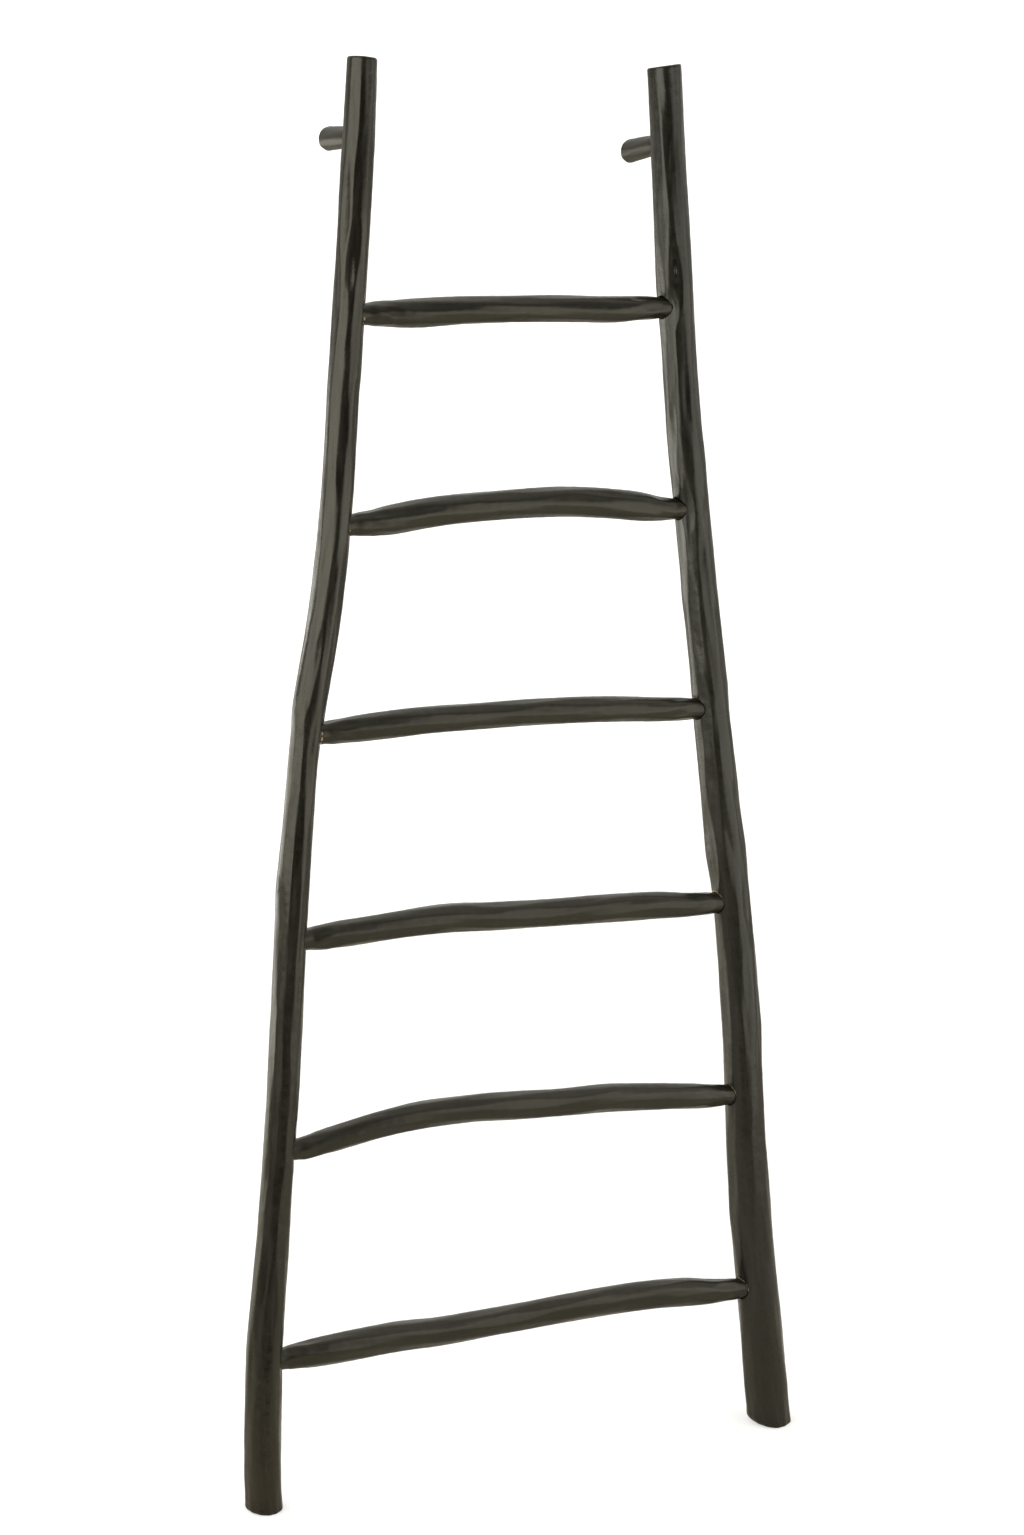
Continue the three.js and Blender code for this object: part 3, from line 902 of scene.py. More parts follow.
@dataclass
class WallPeg:
    """A round peg behind a pole's tip, whittled to its tenon and sawn to lie flat on the wall.

    Thickness gives its radius at shares of its length behind the pole. The shaved body ends at the share
    body, and its strokes fade in over the shares of fade.
    """

    pole: Pole
    wall_distance: float
    below_tip: float = 101
    radius: float = 16.3
    tenon_radius: float = 11
    thickness: Rows = ((0.0, 11), (0.06, 12.4), (0.2, 13.5), (0.5, 15.2), (0.97, 16.3))
    body: float = 0.97
    fade: tuple[float, float] = (0.02, 0.2)
    face_shares: tuple[float, ...] = (0.97, 0.85, 0.6, 0.3)
    past_axis: float = 8
    rim: float = 3.6
    gap: float = 0.3
    sides: int = 84
    rings: int = 60
    strokes: Strokes = Strokes(40, 7, 0.022)

    @property
    def name(self) -> str:
        """Name of the peg's CAD node."""
        return f"{self.pole.side.value}_wall_peg"

    @property
    def height(self) -> float:
        """Level of the peg's axis where it crosses the pole's."""
        return self.pole.length - self.below_tip

    def place(self, distance: Array, angle: Array, radius: Array | float) -> Array:
        """Points round the peg's axis.

        Args:
            distance: distance along the peg from the pole's axis.
            angle: angle round the peg.
            radius: distance from the peg's axis.

        Returns:
            Points in the ladder's plane.
        """
        across, back, _ = self.pole.at(self.height)
        cosine, sine = math.cos(self.pole.peg_tilt), math.sin(self.pole.peg_tilt)
        distance, angle, radius = (a[..., None] for a in np.broadcast_arrays(distance, angle, radius))
        return (
            np.array([across, back, self.height])
            + distance * np.array([0, cosine, sine])
            + radius * np.sin(angle) * np.array([1.0, 0, 0])
            + radius * np.cos(angle) * np.array([0, -sine, cosine])
        )

    def to_wall(self, angle: Array, radius: Array | float) -> Array:
        """Distance along the peg to the wall's plane.

        Args:
            angle: angle round the peg.
            radius: distance from the peg's axis.

        Returns:
            The distance for each angle.
        """
        lean, tilt = self.pole.lean, self.pole.peg_tilt
        wall = np.array([0, math.cos(lean), math.sin(lean)])
        out = np.array([0, math.cos(tilt), math.sin(tilt)])
        return (self.wall_distance - self.place(np.zeros(1), angle, radius) @ wall) / (out @ wall)

    def skin(self) -> Skin:
        """The peg's closed skin: tenon, shaved body that thickens to the end, rounded rim and sawn face.

        Returns:
            The skin in the ladder's plane.
        """
        angle = np.linspace(0, 2 * np.pi, self.sides, endpoint=False)
        zero, flat = np.zeros(1), np.zeros_like(angle)
        shoulder = self.pole.at(self.height)[2] + self.gap
        end = self.to_wall(zero, zero)[0]
        stop = self.to_wall(angle, self.radius) - self.rim
        rows: list[tuple[Array, Array, float]] = []
        for distance in (-self.past_axis, 0.0, shoulder - 0.5):
            rows.append((flat + distance, flat + self.tenon_radius, 0.0))
        for share in np.linspace(0, 1, self.rings):
            distance = flat + shoulder + share * (end - shoulder - self.rim)
            radius = along(self.thickness, share * self.body + flat, 1)
            radius, _ = self.strokes.cut(radius, angle, distance, smoothstep(share, *self.fade))
            rows.append((np.minimum(distance + share**3 * (stop - distance), stop), radius, 0.0))
        last = radius
        for turn in np.linspace(0, np.pi / 2, 6)[1:]:
            radius = last - self.rim * (1 - np.cos(turn))
            rows.append((self.to_wall(angle, radius) - self.rim * (1 - np.sin(turn)), radius, 0.0))
        for share in self.face_shares:
            radius = (last - self.rim) * share
            rows.append((self.to_wall(angle, radius), radius, 1.0))
        distance, radius, sawn = (np.stack([row[k] + flat for row in rows]) for k in range(3))
        wood = np.stack([radius * np.cos(angle), radius * np.sin(angle), distance], axis=-1) / MM_PER_M
        masks = np.stack([0 * sawn, 0 * sawn, sawn], axis=-1)
        skin = Skin()
        ends = np.array([-self.past_axis, end])
        end_wood = np.stack([0 * ends, 0 * ends, ends], axis=-1) / MM_PER_M
        middles = self.place(ends, zero, zero)
        skin.tube(self.place(distance, angle, radius), wood, masks, middles, end_wood, sawn=1.0)
        return skin


@dataclass
class JointNail:
    """A blackened nail through a rung's tenon, its domed head let in level with the pole's back."""

    pole: Pole
    number: int
    height: float
    length: float = 38
    radius: float = 1.75
    point: float = 5
    head_radius: float = 4
    head_thickness: float = 1.5
    sunk: float = 1.2
    hammered: float = 0.05
    sides: int = 32

    @property
    def name(self) -> str:
        """Name of the nail's CAD node."""
        return f"{self.pole.side.value}_nail_{self.number}"

    def skin(self) -> Skin:
        """The nail as a profile turned round its own axis, which runs out of the pole's back.

        Returns:
            The skin in the ladder's plane.
        """
        across, back, _ = self.pole.at(self.height)
        face = back + self.pole.behind(self.height) - self.sunk
        head, shank, thick = self.head_radius, self.radius, self.head_thickness
        profile = np.array(
            [(0.3, -self.length), (shank, self.point - self.length), (shank, -thick), (head - 0.2, -thick)]
            + [(head, 0.3 - thick), (head, -0.75), (head - 0.35, -0.42)]
            + [(0.7 * head, -0.2), (0.4 * head, -0.06), (0.12 * head, 0.0)]
        )
        angle = np.linspace(0, 2 * np.pi, self.sides, endpoint=False)
        radius, out = profile[:, :1], profile[:, 1:]
        uneven = self.hammered * np.sin(2 * angle + self.number) * (out > -0.5)
        place = (across + radius * np.sin(angle), face + out + uneven, self.height + radius * np.cos(angle))
        points = np.stack(place, axis=-1)
        ends = np.array([[across, face - self.length, self.height], [across, face, self.height]])
        skin = Skin()
        skin.tube(points, points / MM_PER_M, np.zeros_like(points), ends, ends / MM_PER_M)
        return skin


# ---- finishes


class Nodes:
    """A node tree with short ways to add nodes and links."""

    def __init__(self, tree: bpy.types.NodeTree) -> None:
        """Takes the tree and empties it."""
        self.tree = tree
        tree.nodes.clear()

    def put(self, socket: Socket, value: object) -> None:
        """Links a socket to another, or sets its value.

        Args:
            socket: the socket.
            value: the other socket, or the value.
        """
        if isinstance(value, Socket):
            self.tree.links.new(value, socket)
        else:
            socket.default_value = value

    def add(self, kind: str, inputs: Inputs | None = None, **settings: object) -> bpy.types.Node:
        """Adds a node.

        Args:
            kind: type of the node.
            inputs: a socket or a value for each input, by its label or its number.
            settings: the node's properties.

        Returns:
            The node.
        """
        node = self.tree.nodes.new(kind)
        for key, value in settings.items():
            setattr(node, key, value)
        for label, value in (inputs or {}).items():
            self.put(node.inputs[label], value)
        return node

    def math(self, operation: str, *values: object) -> Socket:
        """Result of a Math node on sockets and numbers."""
        return self.add("ShaderNodeMath", dict(enumerate(values)), operation=operation).outputs[0]

    def plus(self, *values: object) -> Socket:
        """Sum of two sockets or numbers."""
        return self.math("ADD", *values)

    def times(self, *values: object) -> Socket:
        """Product of two sockets or numbers."""
        return self.math("MULTIPLY", *values)

    def scaled(self, vector: Socket, scale: tuple[float, float, float]) -> Socket:
        """A vector multiplied by three numbers."""
        return self.add("ShaderNodeVectorMath", {0: vector, 1: scale}, operation="MULTIPLY").outputs[0]

    def towards(self, vector: Socket, way: tuple[float, float, float]) -> Socket:
        """How far a vector reaches along a direction."""
        return self.add("ShaderNodeVectorMath", {0: vector, 1: way}, operation="DOT_PRODUCT").outputs["Value"]

    def length(self, vector: Socket) -> Socket:
        """Length of a vector."""
        return self.add("ShaderNodeVectorMath", {0: vector}, operation="LENGTH").outputs["Value"]

    def noise(self, vector: Socket, scale: float, detail: float, rough: float = 0.5) -> Socket:
        """Value of a noise texture."""
        inputs = {"Vector": vector, "Scale": scale, "Detail": detail, "Roughness": rough}
        return self.add("ShaderNodeTexNoise", inputs).outputs["Fac"]

    def ranged(self, value: Socket, low: float, high: float, to_low: float, to_high: float) -> Socket:
        """A value carried smoothly from one range to another."""
        inputs = {"Value": value, "From Min": low, "From Max": high, "To Min": to_low, "To Max": to_high}
        return self.add("ShaderNodeMapRange", inputs, interpolation_type="SMOOTHSTEP").outputs["Result"]

    def mixed(self, share: Socket, first: object, second: object) -> Socket:
        """Colour between two colours or colour sockets."""
        return self.add("ShaderNodeMix", {"Factor": share, 6: first, 7: second}, data_type="RGBA").outputs[2]

    def bump(self, height: Socket, strength: float, distance: float) -> Socket:
        """Normal of a surface with a height, at a strength and at a distance for a height of one."""
        inputs = {"Strength": strength, "Distance": distance, "Height": height}
        return self.add("ShaderNodeBump", inputs).outputs["Normal"]

    def dress(self, inputs: Inputs) -> None:
        """Ends a material's tree in a Principled shader with its inputs linked or set."""
        shader = self.add("ShaderNodeBsdfPrincipled", inputs)
        self.add("ShaderNodeOutputMaterial", {"Surface": shader.outputs["BSDF"]})


def bare_material(name: str) -> tuple[bpy.types.Material, Nodes]:
    """A new material and its empty node tree."""
    material = bpy.data.materials.new(name)
    material.use_nodes = True
    return material, Nodes(material.node_tree)


class Groups:
    """Shader node groups that the wood finishes share, each built once."""

    def __init__(self) -> None:
        """Builds the groups."""
        self.grain = self.make_grain()
        self.finish = self.make_hand_finish()
        self.sawn = self.make_sawn_end()

    @staticmethod
    def start(name: str, inputs: dict[str, float | None]) -> tuple[Nodes, dict[str, Socket]]:
        """Starts a group.

        Args:
            name: name of the group.
            inputs: each input's label, with its value, or None for a vector.

        Returns:
            The group's nodes, and what its inputs give.
        """
        tree = bpy.data.node_groups.new(name, "ShaderNodeTree")
        for label, value in inputs.items():
            kind = "NodeSocketVector" if value is None else "NodeSocketFloat"
            socket = tree.interface.new_socket(label, in_out="INPUT", socket_type=kind)
            if value is not None:
                socket.default_value = value
        nodes = Nodes(tree)
        given = nodes.add("NodeGroupInput").outputs
        return nodes, {label: given[label] for label in inputs}

    @staticmethod
    def end(nodes: Nodes, outputs: dict[str, Socket]) -> bpy.types.NodeTree:
        """Gives a group its outputs, all plain values.

        Args:
            nodes: the group's nodes.
            outputs: each output's label, with the socket that feeds it.

        Returns:
            The group's tree.
        """
        for label in outputs:
            nodes.tree.interface.new_socket(label, in_out="OUTPUT", socket_type="NodeSocketFloat")
        nodes.add("NodeGroupOutput", outputs)
        return nodes.tree

    def make_grain(self) -> bpy.types.NodeTree:
        """Long fibres and short pores along the branch: a tone, and a height for the bump.

        Returns:
            The group's tree.
        """
        nodes, given = self.start("branch_grain", {"Place": None, "Fibre": 1.0, "Pores": 1.0})
        place = given["Place"]
        broad = nodes.noise(nodes.scaled(place, (1, 1, 0.05)), 210, 3, 0.55)
        fine = nodes.noise(nodes.scaled(place, (1, 1, 0.03)), 900, 2, 0.6)
        pore = nodes.ranged(nodes.noise(nodes.scaled(place, (1, 1, 0.08)), 1500, 1, 0.4), 0.62, 0.7, 0, 1)
        fibres = nodes.plus(nodes.times(broad, 0.65), nodes.times(fine, 0.35))
        centred = nodes.times(nodes.math("SUBTRACT", fibres, 0.5), given["Fibre"])
        height = nodes.math("SUBTRACT", nodes.times(fibres, 0.6), nodes.times(pore, given["Pores"]))
        return self.end(nodes, {"Tone": nodes.plus(centred, 0.5), "Height": height})

    def make_hand_finish(self) -> bpy.types.NodeTree:
        """Patchy lacquer over knife work: stain patches, how dull it is, rubbed ridges, and a height.

        Returns:
            The group's tree.
        """
        nodes, given = self.start("hand_finish", {"Place": None, "Ridge": 0.0, "Rub": 1.0})
        place = given["Place"]
        patch = nodes.noise(nodes.scaled(place, (1, 1, 0.22)), 42, 3, 0.55)
        smear = nodes.noise(nodes.scaled(place, (1, 1, 0.12)), 120, 4, 0.6)
        dull = nodes.ranged(smear, 0.38, 0.68, 0, 1)
        broken = nodes.ranged(nodes.noise(nodes.scaled(place, (1, 1, 0.35)), 160, 3, 0.6), 0.46, 0.62, 0, 1)
        rubbed = nodes.times(nodes.times(given["Ridge"], broken), given["Rub"])
        chatter = nodes.noise(nodes.scaled(place, (0.6, 0.6, 1)), 330, 2, 0.5)
        return self.end(nodes, {"Patch": patch, "Dull": dull, "Rubbed": rubbed, "Height": chatter})

    def make_sawn_end(self) -> bpy.types.NodeTree:
        """Growth rings and specks across the branch, from the pith out: a tone and a height.

        Returns:
            The group's tree.
        """
        nodes, given = self.start("sawn_end", {"Place": None, "Rings": 1.0})
        flat = nodes.scaled(given["Place"], (1, 1, 0))
        out = nodes.plus(nodes.times(nodes.length(flat), 3800), nodes.times(nodes.noise(flat, 90, 3, 0.5), 7))
        rings = nodes.plus(nodes.times(nodes.math("SINE", out), 0.5), 0.5)
        speck = nodes.noise(flat, 1400, 2, 0.6)
        tone = nodes.plus(nodes.times(rings, 0.55), nodes.times(speck, 0.45))
        return self.end(nodes, {"Tone": nodes.times(tone, given["Rings"]), "Height": tone})


@dataclass(frozen=True)
class StainedWood:
    """Branch wood under near-black stain and satin lacquer.

    Foot_brown is the share of brown mixed into the colour towards the feet, fading out over foot_zone, in
    metres.
    """

    name: str
    dark: Colour = (0.0034, 0.0032, 0.0022, 1)
    light: Colour = (0.0118, 0.0106, 0.0071, 1)
    rubbed: Colour = (0.06, 0.05, 0.036, 1)
    raw: Colour = (0.42, 0.3, 0.19, 1)
    end: Colour = (0.019, 0.0165, 0.0125, 1)
    brown: Colour = (0.0105, 0.0052, 0.0024, 1)
    foot_brown: float = 0.0
    foot_zone: tuple[float, float] = (0.03, 0.28)
    lacquer: Colour = (1.0, 0.955, 0.76, 1)
    gloss: float = 0.25
    dull: float = 0.37
    sawn_dull: float = 0.22
    bare_dull: float = 0.3
    specular: float = 0.5
    fibre: float = 1.2
    pores: float = 0.35
    rub: float = 0.5
    bump: tuple[float, float] = (0.28, 0.00035)

    def build(self, groups: Groups) -> bpy.types.Material:
        """The material, with its values in the shared groups.

        Args:
            groups: the shader node groups.

        Returns:
            The material.
        """
        material, nodes = bare_material(self.name)
        place = nodes.add("ShaderNodeAttribute", attribute_name="wood").outputs["Vector"]
        ridge, bare, is_sawn = (
            nodes.add("ShaderNodeAttribute", attribute_name=label).outputs["Fac"]
            for label in ("ridge", "bare", "sawn")
        )
        given = {"Place": place, "Fibre": self.fibre, "Pores": self.pores}
        grain = nodes.add("ShaderNodeGroup", given, node_tree=groups.grain).outputs
        given = {"Place": place, "Ridge": ridge, "Rub": self.rub}
        finish = nodes.add("ShaderNodeGroup", given, node_tree=groups.finish).outputs
        sawn = nodes.add("ShaderNodeGroup", {"Place": place}, node_tree=groups.sawn).outputs
        stain = nodes.times(grain["Tone"], nodes.ranged(finish["Patch"], 0.35, 0.7, 0.35, 1.1))
        colour = nodes.mixed(stain, self.dark, self.light)
        if self.foot_brown:
            low = nodes.ranged(nodes.towards(place, UP), *self.foot_zone, self.foot_brown, 0)
            colour = nodes.mixed(low, colour, self.brown)
        colour = nodes.mixed(finish["Rubbed"], colour, self.rubbed)
        colour = nodes.mixed(is_sawn, colour, nodes.mixed(sawn["Tone"], self.dark, self.end))
        colour = nodes.mixed(nodes.ranged(bare, 0.2, 0.6, 0, 1), colour, self.raw)
        rough = nodes.plus(nodes.times(finish["Dull"], self.dull - self.gloss), self.gloss)
        rough = nodes.plus(rough, nodes.times(is_sawn, self.sawn_dull))
        rough = nodes.plus(rough, nodes.times(bare, self.bare_dull))
        height = nodes.plus(nodes.times(grain["Height"], 0.6), finish["Height"])
        height = nodes.plus(height, nodes.times(is_sawn, sawn["Height"]))
        nodes.dress(
            {
                "Base Color": colour,
                "Roughness": rough,
                "Specular IOR Level": self.specular,
                "Specular Tint": self.lacquer,
                "Normal": nodes.bump(height, *self.bump),
            }
        )
        return material


@dataclass(frozen=True)
class BlackenedIron:
    """Iron of the nails, blackened, with rust in blotches."""

    name: str
    black: Colour = (0.018, 0.016, 0.014, 1)
    rust: Colour = (0.05, 0.024, 0.012, 1)
    metallic: float = 0.6
    gloss: float = 0.42
    dull: float = 0.7
    bump: tuple[float, float] = (0.3, 0.0002)

    def build(self) -> bpy.types.Material:
        """Blackened iron with rust in its blotches.

        Returns:
            The material.
        """
        material, nodes = bare_material(self.name)
        place = nodes.add("ShaderNodeTexCoord").outputs["Object"]
        blotch = nodes.ranged(nodes.noise(place, 420, 4, 0.6), 0.45, 0.62, 0, 1)
        nodes.dress(
            {
                "Base Color": nodes.mixed(blotch, self.black, self.rust),
                "Roughness": nodes.ranged(blotch, 0, 1, self.gloss, self.dull),
                "Metallic": self.metallic,
                "Normal": nodes.bump(blotch, *self.bump),
            }
        )
        return material


# ---- the ladder


Part = Pole | Rung | WallPeg | JointNail

# Form of each pole: share of the length, of the crook across, of the bow back, and of the radius.
LEFT_FORM: Rows = (
    (0, 0, 0, 1.26), (0.03, -0.31, 0, 1.18), (0.105, -0.74, 0.3, 1.15), (0.195, -0.64, 0.7, 1.02),
    (0.295, -0.64, 0.8, 1.01), (0.43, -0.96, 0.3, 1.0), (0.515, -0.91, -0.1, 0.93),
    (0.57, -0.62, -0.4, 1.06), (0.625, -0.04, -0.6, 1.04), (0.705, 0.25, -0.8, 1.0),
    (0.775, 0.21, -0.4, 0.99), (0.84, 0.27, 0.1, 1.01), (0.935, 0.24, 0.8, 1.0), (1, 0.11, 1.0, 0.92),
)
RIGHT_FORM: Rows = (
    (0, 0, 0, 1.3), (0.053, -0.07, 0, 1.215), (0.12, -0.31, -0.3, 1.14), (0.2, -0.43, -0.8, 1.135),
    (0.265, -0.1, -1.0, 1.065), (0.34, 0.28, -0.7, 1.06), (0.4, 0.26, -0.3, 1.025),
    (0.46, -0.05, 0.1, 1.05), (0.52, -0.21, 0.4, 1.03), (0.61, -0.43, 0.7, 0.965),
    (0.665, -0.62, 0.8, 0.96), (0.735, -0.91, 0.6, 0.965), (0.8, -0.92, 0.2, 0.935),
    (0.855, -0.83, -0.2, 1.0), (0.93, -0.63, -0.9, 0.915), (1, -0.29, -1.1, 0.92),
)

# Broad flats of each pole, as Shave takes them: height, facing, half length, depth and twist.
LEFT_SHAVES: Rows = (
    (1830, 222, 130, 0.05, 6), (1690, 214, 95, 0.06, -14), (1652, 250, 52, 0.11, 8), (930, 254, 80, 0.035),
    (1560, 282, 130, 0.05), (1430, 218, 150, 0.05, 8), (1285, 222, 120, 0.055, -6),
    (1105, 232, 70, 0.06, 16), (985, 222, 90, 0.05, -8), (1010, 272, 60, 0.03), (850, 218, 110, 0.05),
    (700, 254, 150, 0.035, 5), (455, 256, 130, 0.03, -6), (1180, 300, 130, 0.05), (760, 296, 170, 0.045),
)
RIGHT_SHAVES: Rows = (
    (1830, 199, 110, 0.06), (1616, 247, 52, 0.075), (1690, 268, 130, 0.045), (1775, 245, 90, 0.05),
    (1512, 252, 105, 0.062), (1571, 225, 32, 0.11), (1298, 224, 34, 0.09), (1500, 214, 110, 0.05, 10),
    (1390, 190, 60, 0.08, 16), (1270, 190, 70, 0.07), (1010, 222, 62, 0.06), (820, 184, 78, 0.13, 6),
    (1160, 262, 160, 0.04), (760, 290, 85, 0.06, -12), (900, 222, 120, 0.045), (560, 188, 110, 0.06),
    (330, 190, 120, 0.05), (640, 262, 120, 0.035),
)

# Form of each rung, lowest first: share of the length, of the arch, and of the radius.
RUNG_FORMS: tuple[Rows, ...] = (
    (
        (0.08, 0.11, 0.92), (0.15, 0.3, 1.03), (0.25, 0.5, 1.03), (0.35, 0.37, 0.985), (0.45, 0.5, 0.955),
        (0.6, 0.83, 0.965), (0.73, 1.0, 1.02), (0.85, 0.64, 1.01), (0.9, 0.29, 0.87),
    ),
    (
        (0.05, 0.03, 0.83), (0.1, 0.25, 0.9), (0.2, 0.73, 0.95), (0.3, 1.0, 0.99), (0.4, 1.03, 0.98),
        (0.5, 0.9, 1.04), (0.6, 0.78, 1.0), (0.7, 0.71, 1.03), (0.8, 0.47, 1.0), (0.9, 0.22, 0.93),
    ),
    (
        (0.08, 0.19, 0.925), (0.2, 0.63, 0.955), (0.35, 1.0, 1.05), (0.45, 0.73, 1.015), (0.6, 0.54, 1.01),
        (0.8, 0.36, 1.02), (0.9, 0.04, 0.91),
    ),
    (
        (0.08, 0.25, 0.925), (0.2, 0.65, 1.03), (0.3, 0.87, 1.02), (0.5, 0.99, 0.98), (0.6, 0.98, 1.005),
        (0.75, 0.71, 0.965), (0.9, 0.19, 0.9),
    ),
    (
        (0.08, 0.09, 0.83), (0.15, 0.28, 0.975), (0.25, 0.63, 1.01), (0.4, 0.9, 0.995), (0.55, 1.0, 0.995),
        (0.65, 0.96, 1.025), (0.75, 0.71, 1.02), (0.85, 0.35, 0.99), (0.92, 0.08, 0.79),
    ),
    (
        (0.08, 0, 0.91), (0.2, 0, 1.055), (0.35, 0.88, 1.02), (0.5, 1.0, 0.995), (0.65, 0.48, 0.985),
        (0.8, -0.48, 0.97), (0.9, -0.16, 0.88),
    ),
)


@dataclass
class Ladder:
    """The whole ladder, with the sizes that its pieces share."""

    lean: float = math.radians(9)
    wall_distance: float = 379
    foot_spread: float = 782
    tip_spread: float = 449
    tip_drift: float = 37
    socket_gap: float = 0.5
    left: Pole = field(init=False)
    right: Pole = field(init=False)
    rungs: list[Rung] = field(init=False)
    pegs: list[WallPeg] = field(init=False)
    nails: list[JointNail] = field(init=False)

    def __post_init__(self) -> None:
        """Makes the pieces and lays them together."""
        self.left, self.right = self.make_left_pole(), self.make_right_pole()
        self.rungs = self.make_rungs()
        for rung in self.rungs:
            rung.lay(self.left, self.right)
        self.pegs = [WallPeg(pole, self.wall_distance) for pole in (self.left, self.right)]
        self.nails = [
            JointNail(pole, rung.number, height)
            for rung in self.rungs
            for pole, height in ((self.left, rung.low), (self.right, rung.high))
        ]
        for pole in (self.left, self.right):
            self.bore(pole)

    def make_left_pole(self) -> Pole:
        """The left pole, with the bends, knots and flats of its branch.

        Returns:
            The pole, without its bores.
        """
        return Pole(
            side=Side.LEFT,
            length=1905,
            radius=21,
            crook=18.5,
            bow=5,
            foot_x=-self.foot_spread / 2,
            tip_x=self.tip_drift - self.tip_spread / 2,
            tip_slope=-0.1,
            heel_faces=200,
            heel_wear=1.6,
            form=LEFT_FORM,
            knots=(Knot(0.437, 180, 1.8), Knot(0.562, 190, 2.6), Knot(0.2, 60, 1.5), Knot(0.79, 300, 1.2)),
            shaves=[Shave(*row) for row in LEFT_SHAVES],
            peg_tilt=math.radians(1),
            seed=0.4,
            lean=self.lean,
            lacquer=(1.0, 0.979, 0.82, 1),
            socket_lip=1.9,
            socket_notch=(2.5, 0.16),
            chipped=(1, 2, 3, 4, 5, 6),
            bare_lips={
                6: (-2.4, 0.6, 1.5),
                5: (-2.2, 0.25, 1.2),
                4: (-2.5, 0.6, 2.0),
                3: (-2.1, 0.4, 1.2),
                1: (-2.0, 0.3, 1.0),
            },
        )

    def make_right_pole(self) -> Pole:
        """The right pole, with the bends, knots and flats of its branch.

        Returns:
            The pole, without its bores.
        """
        return Pole(
            side=Side.RIGHT,
            length=1897,
            radius=25,
            crook=12.3,
            bow=5,
            foot_x=self.foot_spread / 2,
            tip_x=self.tip_drift + self.tip_spread / 2,
            tip_slope=0.13,
            heel_faces=185,
            heel_wear=4.4,
            form=RIGHT_FORM,
            knots=(
                Knot(0.157, 180, 2.2),
                Knot(0.304, 0, 2),
                Knot(0.43, 175, 2.9),
                Knot(0.436, 5, 3.1),
                Knot(0.56, 5, 2.2),
                Knot(0.62, 120, 1.6),
                Knot(0.725, 350, 1.4),
                Knot(0.855, 245, 0.2, 0.7),
            ),
            shaves=[Shave(*row) for row in RIGHT_SHAVES],
            peg_tilt=math.radians(-4),
            seed=2.9,
            lean=self.lean,
            lacquer=(0.98, 0.99, 0.885, 1),
            socket_lip=0.9,
            socket_notch=(1.75, 0.12),
            chipped=(4,),
            bare_lips={
                6: (0.2, 0.4, 0.7),
                4: (1.7, 0.6, 1.2),
                3: (1.2, 0.9, 2.4),
                2: (0.95, 0.8, 2.2),
                1: (0.9, 0.8, 2.0),
            },
        )

    @staticmethod
    def make_rungs() -> list[Rung]:
        """The six rungs, lowest first, each with the bow and the thickness of its branch.

        Returns:
            The rungs, not laid yet.
        """
        sizes = (
            (1, -2, -4, 19.7, 11.5, 5, 0.0),
            (2, 3.5, 0.5, 18.7, 26.5, -4, 0.0),
            (3, 7, 0, 18.7, 11.6, 4, 0.0),
            (4, 3, -3, 17.9, 11.2, -3, 1.2),
            (5, -1, -1, 19.9, 18.3, 5, 0.5),
            (6, -1, -1, 18, 2.5, -4, 0.8),
        )
        return [Rung(*size, form=form, missed=missed) for (*size, missed), form in zip(sizes, RUNG_FORMS)]

    def bore(self, pole: Pole) -> None:
        """Gives a pole the holes for its rungs, its nails and its peg.

        The stain missed the lip of some sockets, mostly above the rung on the right pole and below it on the
        left one, where bare wood shows. Each left socket has a small flat shaved beside it.

        Args:
            pole: the pole.
        """
        is_left = pole.side is Side.LEFT
        for rung in self.rungs:
            height = rung.low if is_left else rung.high
            if is_left:
                pole.shaves.append(Shave(height + 6, 322, 30 + 5 * (rung.number % 3), 0.055))
            pole.bores.append(
                Bore(
                    faces=pole.inward,
                    height=height,
                    radius=rung.tenon_radius + self.socket_gap,
                    floor=-rung.tenon_past_axis - self.socket_gap,
                    lean=rung.lean(pole.side, pole.at(height)[2]),
                    lip=pole.socket_lip,
                    bare=pole.bare_lips.get(rung.number, NOT_BARE),
                    chips=MOST_CHIPS if rung.number in pole.chipped else LEAST_CHIPS,
                    notch=pole.socket_notch,
                )
            )
        for nail in self.nails:
            if nail.pole is pole:
                depth = pole.behind(nail.height) - nail.sunk - nail.head_thickness - 0.3
                pole.bores.append(Bore(np.pi / 2, nail.height, nail.head_radius + 0.35, depth, lip=0.25))
        for peg in self.pegs:
            if peg.pole is pole:
                radius, floor = peg.tenon_radius + self.socket_gap, -peg.past_axis - self.socket_gap
                lean = (0.0, math.tan(pole.peg_tilt))
                pole.bores.append(Bore(np.pi / 2, peg.height, radius, floor, lean))

    def turned(self, way: Array) -> Array:
        """Turns directions of the ladder's plane back by the lean.

        Args:
            way: the directions, with x, y and z last.

        Returns:
            The directions as they stand.
        """
        x, y, z = np.moveaxis(way, -1, 0)
        cosine, sine = math.cos(self.lean), math.sin(self.lean)
        return np.stack([x, y * cosine + z * sine, z * cosine - y * sine], axis=-1)

    def stand(self, points: Array) -> Array:
        """Leans points of the ladder's plane back and puts them on the floor, in metres.

        Args:
            points: n by 3, in millimetres.

        Returns:
            The points as they stand, about the middle of the ladder's reach on the floor.
        """
        left_toe, right_toe = (pole.at(0.0)[2] for pole in (self.left, self.right))
        middle = np.array([(left_toe - right_toe) / 2, (right_toe - self.wall_distance) / 2, 0])
        return (self.turned(points) + middle) / MM_PER_M

